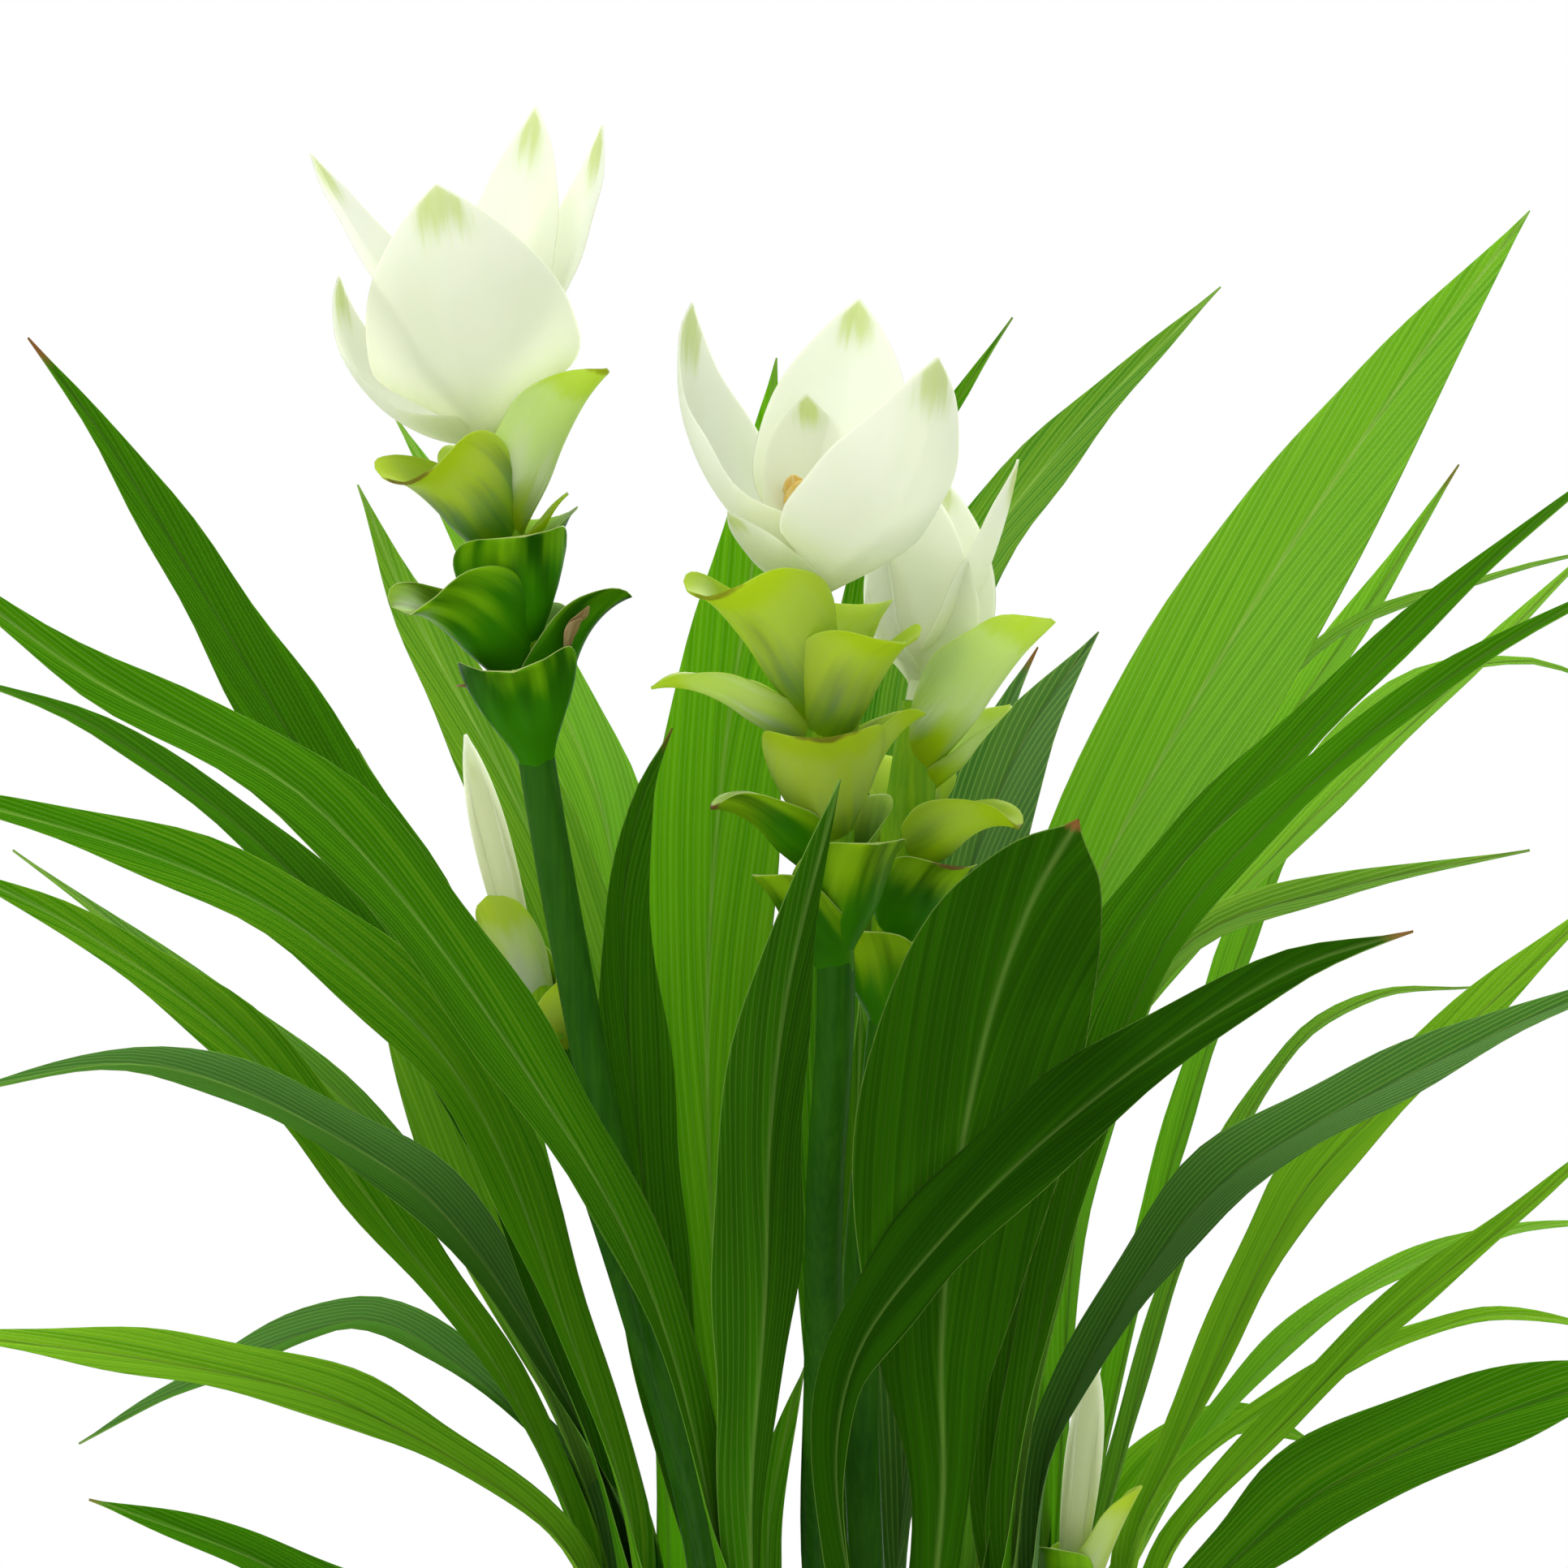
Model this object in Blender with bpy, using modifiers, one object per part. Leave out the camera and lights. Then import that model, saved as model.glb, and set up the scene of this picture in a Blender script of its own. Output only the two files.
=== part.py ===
# Potted siam tulip: a white pot of soil with eleven leafy shoots, three open flowers and two buds.
# Metres, +Z up. The origin is the middle of the pot's underside, and the plant's front faces -Y.

import math

import bmesh
import bpy
from mathutils import Vector, geometry

CM = 0.01

# Pot: a plain tapered cup with a round rim and four drainage holes
POT_HEIGHT = 12.5 * CM
POT_TOP_RADIUS = 7.0 * CM
POT_FOOT_RADIUS = 4.95 * CM
POT_WALL = 0.6 * CM
POT_FLOOR = 0.7 * CM
POT_SIDES = 30
FOOT_CHAMFER = 0.2 * CM
DRAIN_RADIUS = 0.5 * CM
DRAIN_CIRCLE = 2.6 * CM
DRAIN_COUNT = 4
DRAIN_SIDES = 12
RIM_ANGLES = (180, 135, 90, 45, 0)

# Soil: it fills the pot to a little under the rim
SOIL_TOP = 11.0 * CM
SOIL_MOUND = 0.25 * CM
SOIL_RELIEF = 0.1 * CM
ROOT_DEPTH = 3.4 * CM
ROOT_SIDES = 8
SOIL_WAVES = (1.7, 1.9)
SOIL_PHASES = (0.6, -0.4)
GAP = 0.0003
HOLE_SLACK = 0.0009

# Blades: leaves and bracts are sheets of one thickness
BLADE = 0.0008
STALK_WIDTH = 0.95 * CM
NARROW_STALK = 0.7
STALK_SHARE = 0.22
WIDEST_SHARE = 0.62
POINT_POWERS = (1.8, 1.1)
TIP_WIDTH = 0.12 * CM
STALK_FOLD = 55
LEAF_FOLD = 13
FOLD_SHARE = 0.5
LEAF_STEP_LENGTH = 3.9 * CM
LEAF_STEPS = (4, 9)
LEAF_SINK = 1.8 * CM
LEAF_SPREAD = 0.16 * CM

# Shoots: the wrapped leaf bases that stand in the soil
SHOOT_FOOT = 0.72 * CM
SHOOT_NECK = 0.42 * CM
COLLAR = 0.6 * CM

# Flower stems
STEM_RADIUS = 0.34 * CM
SPIKE_RADIUS = 0.36 * CM
STEM_STEPS = 6
COMA_FOOT = 0.3 * CM
COMA_COLLAR = 0.15 * CM
COMA_END = 0.14 * CM
BRACT_ROOT_CURL = 0.3 * CM

# How finely a curve is followed, how near two points are one, and where shading is sharp
CURVE_PIECES = 16
MERGE = 0.00001
SHARP_ANGLE = 40

# The point that the routes below are seen from, with the middle of the view at its height
EYE = Vector((-1.6, -75.0, 35.0)) * CM

# Leaves are (width, turns, route). Widths and routes are in centimetres. A route runs from the shoot
# to the tip, and each point is across, up and toward the eye, as it looks from EYE.
# A turn of 0 shows the upper face to the eye, 90 the edge and 180 the underside, from stalk to tip.
SHOOTS = {
    "leafy_shoot_1": {
        "foot": (-3.9, -0.2),
        "neck": (-4.9, -0.3, 17.4),
        "leaves": [
            (2.2, (70, 57, 50), [
                (-5.5, 19.6, 0.4), (-7.1, 23.2, 0.2), (-9.1, 25.9, 0), (-12.3, 29.8, 0),
                (-15.5, 32.1, 0), (-18.3, 33.5, 0)
            ]),
            (1.3, (70, 64, 60), [
                (-5.2, 20.0, -0.6), (-6.3, 23.0, -1.2), (-8.7, 27.0, -1.6), (-10.8, 29.2, -1.6),
                (-14.8, 32.2, -1.6), (-16.8, 33.7, -1.6)
            ]),
            (2.4, (70, 62, 66), [
                (-5.6, 19.4, 1.2), (-6.8, 20.8, 1.6), (-9.9, 22.6, 2), (-12.3, 23.3, 2),
                (-17.1, 24.0, 2), (-19.0, 24.0, 2)
            ]),
            (1.8, (70, 62, 70), [
                (-5.3, 20.2, -0.5), (-6.0, 21.7, -1.0), (-8.7, 24.0, -2.8), (-10.2, 24.4, -3.8),
                (-13.4, 23.1, -5.6), (-15.5, 22.0, -6.6)
            ]),
            (2.0, (75, 60, 60), [
                (-5.9, 18.0, 0.6), (-7.4, 18.5, 0.8), (-9.9, 18.7, 0.8), (-12.3, 19.8, 0.6),
                (-15.3, 20.9, 0.5)
            ]),
        ],
    },
    "leafy_shoot_2": {
        "foot": (-3.5, -2.0),
        "neck": (-4.3, -2.6, 17.6),
        "leaves": [
            (1.9, (70, 60, 60), [
                (-5.0, 20.6, 3.4), (-6.2, 24.1, 4.0), (-8.1, 29.0, 4.6), (-11.0, 32.9, 5),
                (-15.0, 36.0, 5), (-18.0, 37.2, 5)
            ]),
            (2.4, (80, 60, 72), [
                (-4.6, 20.0, 3.2), (-5.4, 21.9, 3.4), (-7.5, 25.5, 3.2), (-9.4, 27.4, 3.2),
                (-13.9, 29.4, 3.4), (-18.0, 28.9, 3.6)
            ]),
            (2.6, (70, 56, 58), [
                (-4.6, 20.2, 4.2), (-5.8, 24.0, 5.4), (-7.9, 29.0, 6.4), (-10.8, 31.9, 6.8),
                (-13.9, 33.5, 7), (-19.5, 35.1, 7)
            ]),
        ],
    },
    "leafy_shoot_3": {
        "foot": (-3.2, 1.8),
        "neck": (-4.1, 1.9, 17.6),
        "leaves": [
            (2.8, (60, 50, 50), [
                (-4.5, 20.0, -1.6), (-6.7, 26.5, -1.2), (-8.4, 31.3, -1.1), (-11.5, 36.2, -1),
                (-14.8, 41.5, -1), (-16.5, 43.8, -1)
            ]),
            (2.8, (30, 12, 20), [
                (-4.7, 20.4, -2.6), (-6.8, 25.5, -3.2), (-8.4, 30.4, -3.8), (-9.1, 32.9, -4.1),
                (-10.0, 35.7, -4.5)
            ]),
            (2.2, (50, 40, 40), [
                (-3.9, 20.6, -3.0), (-4.2, 25.6, -4.4), (-4.6, 30.5, -6.0), (-5.4, 35.1, -8.0),
                (-8.1, 40.2, -10.4), (-9.3, 42.3, -11.4)
            ]),
            (1.0, (60, 40, 40), [
                (-4.6, 19.6, -2.2), (-5.3, 21.4, -2.4), (-6.4, 24.9, -2.4), (-7.4, 27.3, -2.2)
            ]),
        ],
    },
    "leafy_shoot_4": {
        "foot": (-1.2, 0.6),
        "neck": (-2.2, 0.5, 17.8),
        "leaves": [
            (3.0, (20, 18, 25), [
                (-2.6, 20.4, -0.8), (-3.0, 26.0, -1.3), (-3.1, 31.0, -1.9), (-2.8, 35.3, -2.3),
                (-2.2, 39.4, -2.6), (-1.75, 43.4, -3)
            ]),
            (2.2, (50, 48, 50), [
                (-3.3, 20.4, -0.5), (-3.9, 23.8, -0.5), (-4.5, 28.1, -0.4), (-4.8, 32.4, -0.5),
                (-4.4, 34.8, -0.6), (-3.8, 36.1, -0.8)
            ]),
            (2.6, (50, 38, 40), [
                (-3.4, 20.6, -1.4), (-4.4, 26.0, -2.4), (-5.0, 29.4, -3.2), (-6.6, 34.0, -4.4),
                (-9.1, 38.7, -7), (-10.0, 40.9, -8)
            ]),
            (0.9, (60, 40, 40), [
                (-3.4, 20.0, -0.1), (-4.2, 23.0, 0.1), (-5.0, 27.1, 0.3), (-5.8, 29.6, 0.3)
            ]),
            (2.4, (20, 10, 20), [
                (-2.3, 20.4, -2.2), (-2.5, 25.0, -6), (-2.7, 28.6, -10), (-2.8, 29.6, -14.5)
            ]),
        ],
    },
    "leafy_shoot_5": {
        "foot": (-1.4, -3.0),
        "neck": (-2.2, -3.5, 17.6),
        "leaves": [
            (2.5, (60, 54, 56), [
                (-2.9, 19.9, 4.9), (-4.1, 24.6, 7), (-5.9, 28.1, 8.2), (-10.7, 34.4, 9.4),
                (-15.5, 37.2, 9.6), (-19.5, 40.2, 9.6)
            ]),
            (2.4, (140, 135, 130), [
                (-2.3, 20.4, 5.2), (-2.0, 24.9, 6.8), (-1.9, 28.1, 7.6), (-1.5, 31.2, 8.2),
                (-0.5, 35.1, 8.6)
            ]),
            (1.1, (60, 50, 50), [
                (-1.9, 20.0, 3.4), (-1.7, 21.5, 3.2), (-1.2, 23.5, 2.9)
            ]),
        ],
    },
    "leafy_shoot_6": {
        "foot": (0.2, 2.8),
        "neck": (0.2, 3.1, 17.6),
        "leaves": [
            (2.0, (50, 50, 55), [
                (-0.5, 21.0, -4.6), (-1.0, 28.0, -5.9), (-0.5, 35.0, -7.2), (0.6, 40.5, -8.4),
                (2.0, 42.8, -8.8), (2.9, 44.2, -9)
            ]),
            (2.6, (40, 42, 48), [
                (0.4, 21.0, -3.9), (0.3, 29.0, -4.2), (0.7, 35.0, -4.8), (1.4, 38.1, -5.8),
                (3.7, 41.4, -8), (7.0, 44.8, -10)
            ]),
            (3.0, (40, 25, 20), [
                (0.7, 20.4, -2.6), (0.9, 25.0, -1.8), (1.4, 29.5, -1.2), (2.0, 33.0, -1.1),
                (3.1, 35.8, -1.4), (4.6, 38.0, -2)
            ]),
            (2.0, (50, 40, 35), [
                (0.8, 21.0, -3.4), (1.2, 29.0, -3.4), (2.0, 34.3, -3.6), (2.8, 36.5, -3.8),
                (3.4, 37.7, -4)
            ]),
            (2.0, (60, 50, 50), [
                (-0.3, 20.2, -2.2), (-0.5, 24.4, -1.4), (-0.2, 28.1, -1.0), (-0.1, 30.8, -0.9)
            ]),
            (2.6, (20, 10, 20), [
                (0.3, 20.6, -4.6), (0.7, 25.0, -8), (1.0, 27.8, -12), (1.2, 28.2, -16)
            ]),
        ],
    },
    "leafy_shoot_7": {
        "foot": (0.7, -3.2),
        "neck": (0.6, -4.1, 17.6),
        "leaves": [
            (3.9, (170, 172, 165), [
                (1.5, 20.6, 6.0), (1.5, 24.0, 8.0), (1.8, 27.2, 9.8), (2.4, 30.2, 11.4),
                (3.2, 32.5, 13.6), (4.2, 34.3, 17.6)
            ]),
            (2.5, (70, 55, 48), [
                (-0.5, 20.6, 6.2), (-0.3, 23.3, 8.2), (1.0, 25.4, 10.4), (4.2, 28.5, 12.8),
                (8.2, 31.2, 13), (10.8, 32.1, 12.4)
            ]),
        ],
    },
    "leafy_shoot_8": {
        "foot": (2.1, 1.0),
        "neck": (2.3, 1.2, 17.8),
        "leaves": [
            (3.3, (20, 5, 8), [
                (1.9, 21.5, -1.4), (2.6, 26.5, -1.7), (4.1, 32.0, -2.4), (6.9, 37.3, -3.8),
                (10.5, 42.8, -6.5), (13.1, 46.3, -8)
            ]),
            (1.6, (60, 62, 62), [
                (2.9, 20.6, -0.9), (3.9, 25.5, -0.8), (5.0, 30.0, -0.6), (8.3, 33.8, -0.6),
                (11.9, 37.2, -0.8), (14.9, 40.2, -1)
            ]),
            (1.4, (60, 72, 76), [
                (2.8, 20.4, -1.7), (4.4, 27.5, -3.2), (6.6, 34.0, -5.6), (8.9, 37.6, -6.6),
                (12.5, 39.1, -7.6), (14.8, 39.7, -8.4)
            ]),
            (1.5, (50, 42, 45), [
                (2.4, 19.8, -2.0), (2.9, 21.7, -2.7), (3.2, 24.1, -3.4), (3.5, 26.3, -4.0)
            ]),
        ],
    },
    "leafy_shoot_9": {
        "foot": (2.7, -2.1),
        "neck": (3.1, -2.5, 17.6),
        "leaves": [
            (2.3, (70, 58, 60), [
                (3.4, 20.6, 3.2), (3.9, 22.6, 3.7), (6.1, 26.1, 4.5), (7.7, 27.6, 5), (12.5, 30.1, 5),
                (15.7, 31.4, 5)
            ]),
            (2.0, (60, 58, 62), [
                (2.5, 20.6, 4.0), (3.3, 26.0, 6.6), (4.7, 31.3, 8.4), (8.5, 35.7, 9), (11.7, 38.8, 9),
                (14.9, 41.5, 9)
            ]),
            (1.7, (60, 60, 60), [
                (2.8, 20.2, 4.8), (4.0, 26.5, 8.2), (5.9, 31.8, 10.2), (8.5, 34.7, 10.4),
                (11.7, 37.2, 10.2), (15.7, 39.4, 10)
            ]),
            (1.6, (60, 58, 60), [
                (3.0, 20.8, 3.2), (4.1, 27.2, 4.9), (5.0, 30.1, 5.9), (6.6, 32.0, 6.6),
                (9.3, 32.9, 7.0), (13.1, 33.7, 7.2)
            ]),
            (3.0, (70, 52, 55), [
                (5.2, 17.4, 4.0), (7.1, 19.5, 5.4), (9.3, 21.2, 6), (13.9, 23.0, 6), (16.5, 23.3, 6)
            ]),
        ],
    },
    "leafy_shoot_10": {
        "foot": (4.1, 0.1),
        "neck": (5.0, 0.0, 17.4),
        "leaves": [
            (2.4, (70, 62, 60), [
                (5.3, 20.0, 0.4), (6.1, 21.8, 0.7), (8.5, 26.7, 1), (10.1, 28.5, 1), (13.9, 32.1, 1),
                (15.1, 33.2, 1)
            ]),
            (1.5, (75, 62, 62), [
                (5.9, 19.6, 1.2), (6.9, 21.0, 1.9), (8.5, 22.6, 2.1), (10.1, 24.2, 2.1),
                (12.9, 26.5, 2), (14.9, 28.3, 2)
            ]),
            (1.3, (75, 68, 70), [
                (5.4, 20.0, -0.5), (6.6, 21.7, -0.8), (9.3, 23.4, -0.9), (10.9, 24.1, -1),
                (12.5, 24.5, -1), (14.9, 24.2, -1)
            ]),
        ],
    },
    "leafy_shoot_11": {
        "foot": (3.3, 2.5),
        "neck": (3.8, 2.8, 17.6),
        "leaves": [
            (2.0, (50, 50, 50), [
                (3.8, 20.8, -4.4), (4.3, 27.0, -6.4), (6.2, 33.0, -8.6), (8.6, 36.6, -10.4),
                (10.2, 38.9, -11.4), (11.7, 41.3, -12)
            ]),
            (2.0, (70, 56, 60), [
                (4.6, 19.8, -3.9), (5.7, 21.5, -5.0), (7.3, 22.4, -5.8), (8.9, 22.0, -6.4)
            ]),
            (1.8, (60, 66, 72), [
                (4.5, 21.0, -3.7), (6.2, 28.0, -5.2), (8.4, 34.0, -7.6), (10.3, 36.7, -9.2),
                (12.9, 37.4, -10), (14.8, 36.9, -10)
            ]),
            (1.2, (60, 68, 70), [
                (4.8, 20.8, -2.8), (6.5, 26.3, -3.2), (8.5, 29.8, -3.6), (10.1, 30.8, -3.8),
                (12.0, 31.0, -4)
            ]),
            (1.3, (70, 62, 66), [
                (5.2, 19.5, -2.9), (6.9, 22.4, -3.4), (9.3, 24.7, -4.8), (12.5, 26.1, -7),
                (14.8, 26.4, -8)
            ]),
            (2.4, (20, 10, 20), [
                (3.3, 20.6, -4.9), (3.3, 25.0, -8.8), (3.2, 28.2, -12.4), (3.1, 29.0, -16)
            ]),
        ],
    },
}

# Bracts are (rise, heading, length, width, start lean, end lean): centimetres along the spike, then
# degrees round it (0 to the eye, 90 to the right), centimetres, and degrees away from the spike.
# A stem route, the ends of the spike and the coma's end are across, up and toward the eye.
FLOWERS = {
    "left": {
        "foot": (-2.0, -1.4),
        "route": [(-2.95, 19.6, 1.9), (-4.0, 23.9, 2.6), (-5.1, 28.1, 3), (-5.9, 32.1, 3)],
        "spike": [(-6.42, 35.1, 3), (-7.46, 41.6, 3)],
        "bracts": [
            (0.1, -5, 2.4, 3.8, 16, 70),
            (0.8, 96, 3.1, 3.0, 14, 80),
            (1.2, 180, 2.6, 2.8, 16, 70),
            (1.6, -48, 2.8, 4.0, 24, 95),
            (2.1, 14, 2.7, 3.5, 12, 55),
            (3.0, 145, 2.5, 2.8, 18, 70),
            (4.0, -38, 2.8, 4.1, 24, 98),
            (4.3, 100, 1.3, 0.9, 30, 60),
            (4.3, 64, 3.8, 3.1, 22, 62),
            (4.7, 178, 2.4, 2.6, 20, 70),
        ],
        "coma_end": (-7.65, 43.3, 3),
        "petals": [
            (0.1, -15, 5.0, 4.6, 36, -4),
            (0.1, -112, 4.9, 3.0, 84, -14),
            (0.9, -118, 6.0, 2.5, 35, 24),
            (1.1, 148, 6.5, 2.5, 34, 22),
            (0.9, 118, 6.2, 2.5, 48, 14),
            (0.7, -160, 4.4, 2.4, 16, 10),
        ],
    },
    "right": {
        "foot": (-0.2, -1.3),
        "route": [(-0.9, 19.6, 2.4), (-0.85, 23.4, 3.6), (-0.8, 27.0, 5)],
        "spike": [(-0.58, 31.2, 5.8), (-1.0, 38.6, 6)],
        "bracts": [
            (0.0, -65, 2.2, 2.6, 12, 50),
            (0.2, 30, 2.6, 3.0, 14, 55),
            (1.2, 165, 2.4, 2.8, 16, 65),
            (1.7, -78, 2.3, 2.7, 24, 90),
            (2.1, 2, 2.6, 3.8, 12, 55),
            (2.8, 98, 2.4, 2.6, 18, 70),
            (3.2, -160, 2.4, 2.8, 18, 70),
            (4.0, -88, 3.0, 2.3, 40, 100),
            (4.3, -38, 3.8, 4.0, 22, 84),
            (3.9, 44, 2.8, 3.4, 18, 80),
            (4.8, 150, 2.4, 2.8, 18, 65),
        ],
        "coma_end": (-0.85, 40.3, 6),
        "petals": [
            (0.1, 45, 5.2, 4.0, 64, -6),
            (0.5, -110, 6.0, 4.2, 70, -10),
            (0.8, 168, 5.1, 3.0, 18, 14),
            (0.4, 104, 3.4, 2.6, 44, 14),
            (0.1, -55, 2.3, 1.8, 70, 42),
            (0.7, -150, 3.2, 2.4, 20, 10),
        ],
    },
    "back": {
        "foot": (0.5, 0.7),
        "route": [(0.0, 20.0, 0.3), (-0.1, 25.0, 1.1)],
        "spike": [(0.38, 30.0, 2), (1.1, 36.6, 2)],
        "bracts": [
            (0.1, -30, 2.2, 2.6, 12, 55),
            (1.0, 160, 2.1, 2.5, 14, 60),
            (1.6, 35, 2.2, 2.9, 14, 65),
            (2.2, -120, 2.2, 2.5, 16, 65),
            (3.0, 72, 2.3, 2.9, 24, 110),
            (3.6, -170, 2.2, 2.5, 18, 65),
            (4.6, 112, 2.4, 2.0, 26, 45),
            (4.9, 58, 4.0, 3.1, 22, 52),
        ],
        "coma_end": (1.25, 38.2, 2),
        "petals": [
            (0.2, -35, 4.4, 2.8, 22, 4),
            (0.6, 82, 4.4, 2.6, 30, 4),
            (0.5, 180, 4.0, 2.6, 16, 10),
            (0.4, -110, 3.8, 2.2, 20, 10),
        ],
    },
    "left_bud": {
        "foot": (-2.6, 0.2),
        "route": [(-3.2, 19.8, 0.8), (-4.6, 25.0, 1.5)],
        "spike": [(-6.1, 29.5, 1.6), (-6.7, 31.3, 1.6)],
        "bracts": [
            (0.3, -20, 3.2, 1.9, 6, 8),
            (0.0, 60, 1.8, 1.6, 16, 50),
            (0.2, 165, 2.2, 1.7, 8, 14),
        ],
        "coma_end": (-6.98, 32.4, 1.6),
        "petals": [
            (0.1, 0, 4.6, 0.95, 4, -2),
            (0.1, 120, 4.1, 0.95, 5, -3),
            (0.1, -120, 4.3, 0.95, 5, -3),
        ],
    },
    "right_bud": {
        "foot": (3.0, -0.5),
        "route": [(3.6, 16.0, 1.3)],
        "spike": [(3.96, 17.9, 1.8), (4.06, 19.5, 1.8)],
        "bracts": [
            (0.2, -25, 2.0, 2.0, 12, 24),
            (0.5, 80, 3.0, 1.7, 14, 26),
            (0.1, 170, 2.0, 1.9, 12, 24),
        ],
        "coma_end": (4.17, 20.5, 1.8),
        "petals": [
            (0.1, 0, 4.0, 0.95, 4, -2),
            (0.1, 120, 3.6, 0.95, 5, -3),
            (0.1, -120, 3.8, 0.95, 5, -3),
        ],
    },
}

# Outlines of the kinds of bract: share of the width at the root, where the width is greatest, how
# pointed the end is, the curl across it there, how far off the axis it starts and how much more its
# pouch stands off, how late it leans out, how soon it reaches its curl, and the grid it is bent from
GREEN_BRACT = {
    "root": 0.36, "widest": 0.58, "point": 0.62, "curl": 1.1 * CM,
    "stand": 0.22 * CM, "belly": 0.36 * CM, "flare": 2, "pace": 1.4, "steps": (3, 3),
}
SHEATH_BRACT = {
    "root": 0.5, "widest": 0.58, "point": 0.62, "curl": 0.55 * CM,
    "stand": 0.22 * CM, "belly": 0.06 * CM, "flare": 1.4, "pace": 1.4, "steps": (3, 3),
}
WHITE_BRACT = {
    "root": 0.3, "widest": 0.33, "point": 0.9, "curl": 3.0 * CM,
    "stand": 0.15 * CM, "belly": 0, "flare": 1, "pace": 3.5, "steps": (3, 4),
}
BUD_BRACT = {
    "root": 0.5, "widest": 0.35, "point": 0.8, "curl": 0.42 * CM,
    "stand": 0.2 * CM, "belly": 0, "flare": 1, "pace": 1.4, "steps": (2, 3),
}
POUCH_PACE = 2.5


def clear_scene():
    for thing in list(bpy.data.objects):
        bpy.data.objects.remove(thing, do_unlink=True)


def new_collection(name):
    collection = bpy.data.collections.new(name)
    bpy.context.scene.collection.children.link(collection)
    return collection


def new_material(name, colour, roughness):
    material = bpy.data.materials.new(name)
    material.use_nodes = True
    shader = material.node_tree.nodes["Principled BSDF"]
    shader.inputs["Base Color"].default_value = (*colour, 1)
    shader.inputs["Roughness"].default_value = roughness
    shader.inputs["Metallic"].default_value = 0
    return material


def evaluated_mesh(thing):
    graph = bpy.context.evaluated_depsgraph_get()
    return bpy.data.meshes.new_from_object(thing.evaluated_get(graph))


def seen(across, up, toward):
    """The place of a point that looks across and up on the pot's plane, and lies toward the eye."""
    reach = 1 + toward * CM / EYE.y
    return Vector((
        EYE.x + (across * CM - EYE.x) * reach,
        -toward * CM,
        EYE.z + (up * CM - EYE.z) * reach,
    ))


def smooth_route(points, steps):
    """Evenly spaced points on a smooth curve through the given ones."""
    headings = []
    for i in range(len(points)):
        headings.append((points[min(i + 1, len(points) - 1)] - points[max(i - 1, 0)]).normalized())
    fine = [points[0]]
    for i in range(len(points) - 1):
        third = (points[i + 1] - points[i]).length / 3
        handles = points[i] + headings[i] * third, points[i + 1] - headings[i + 1] * third
        fine += geometry.interpolate_bezier(points[i], *handles, points[i + 1], CURVE_PIECES)[1:]
    lengths = [0.0]
    for i in range(len(fine) - 1):
        lengths.append(lengths[-1] + (fine[i + 1] - fine[i]).length)
    route = [fine[0]]
    i = 0
    for step in range(1, steps):
        wanted = lengths[-1] * step / steps
        while lengths[i + 1] < wanted:
            i += 1
        share = (wanted - lengths[i]) / (lengths[i + 1] - lengths[i])
        route.append(fine[i].lerp(fine[i + 1], share))
    return [*route, fine[-1]]


def ease(share):
    share = min(max(share, 0), 1)
    return share * share * (3 - 2 * share)


def between(values, share):
    """A value read along three evenly spaced ones."""
    if share < 0.5:
        return values[0] + (values[1] - values[0]) * share * 2
    return values[1] + (values[2] - values[1]) * (share * 2 - 1)


def bent_sheet(name, steps, place):
    """A flat grid bent to place(across, along), split into triangles, with the blade's thickness."""
    grid = bmesh.new()
    bmesh.ops.create_grid(grid, x_segments=steps[0], y_segments=steps[1], size=1)
    for corner in grid.verts:
        corner.co = place(corner.co.x, (corner.co.y + 1) / 2)
    bmesh.ops.triangulate(grid, faces=grid.faces)
    mesh = bpy.data.meshes.new(name)
    grid.to_mesh(mesh)
    grid.free()
    sheet = bpy.data.objects.new(name, mesh)
    wall = sheet.modifiers.new("Thickness", "SOLIDIFY")
    wall.thickness = BLADE
    wall.offset = 0
    return sheet


def tube(name, points, radii):
    """A solid stem of eight sides, with a radius at each point."""
    curve = bpy.data.curves.new(name, "CURVE")
    curve.dimensions = "3D"
    curve.bevel_depth = CM
    curve.bevel_resolution = 2
    curve.use_fill_caps = True
    spline = curve.splines.new("POLY")
    spline.points.add(len(points) - 1)
    for knot, place, radius in zip(spline.points, points, radii):
        knot.co = (*place, 1)
        knot.radius = radius / CM
    guide = bpy.data.objects.new(name, curve)
    helpers.objects.link(guide)
    mesh = evaluated_mesh(guide)
    bpy.data.objects.remove(guide)
    solid = bmesh.new()
    solid.from_mesh(mesh)
    bmesh.ops.remove_doubles(solid, verts=solid.verts, dist=MERGE)
    solid.to_mesh(mesh)
    solid.free()
    return bpy.data.objects.new(name, mesh)


def fuse(name, pieces, material):
    """One solid from pieces that meet, as a node of the plant."""
    others = new_collection(name + "_pieces")
    for piece in pieces[1:]:
        others.objects.link(piece)
    helpers.objects.link(pieces[0])
    union = pieces[0].modifiers.new("Union", "BOOLEAN")
    union.operation = "UNION"
    union.operand_type = "COLLECTION"
    union.collection = others
    union.solver = "EXACT"
    mesh = evaluated_mesh(pieces[0])
    for piece in pieces:
        bpy.data.objects.remove(piece)
    bpy.data.collections.remove(others)
    keep_outer_skin(mesh)
    add_node(name, mesh, material)


def keep_outer_skin(mesh):
    """Fills the hollows that fusing has sealed and drops loose scraps: only the largest skin stays."""
    solid = bmesh.new()
    solid.from_mesh(mesh)
    skins = []
    waiting = set(solid.verts)
    while waiting:
        skin = {waiting.pop()}
        edge = list(skin)
        while edge:
            near = {link.other_vert(corner) for corner in edge for link in corner.link_edges}
            edge = list(near - skin)
            skin |= near
        waiting -= skin
        skins.append(skin)
    outer = max(skins, key=len)
    bmesh.ops.delete(solid, geom=[corner for corner in solid.verts if corner not in outer], context="VERTS")
    solid.to_mesh(mesh)
    solid.free()


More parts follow.
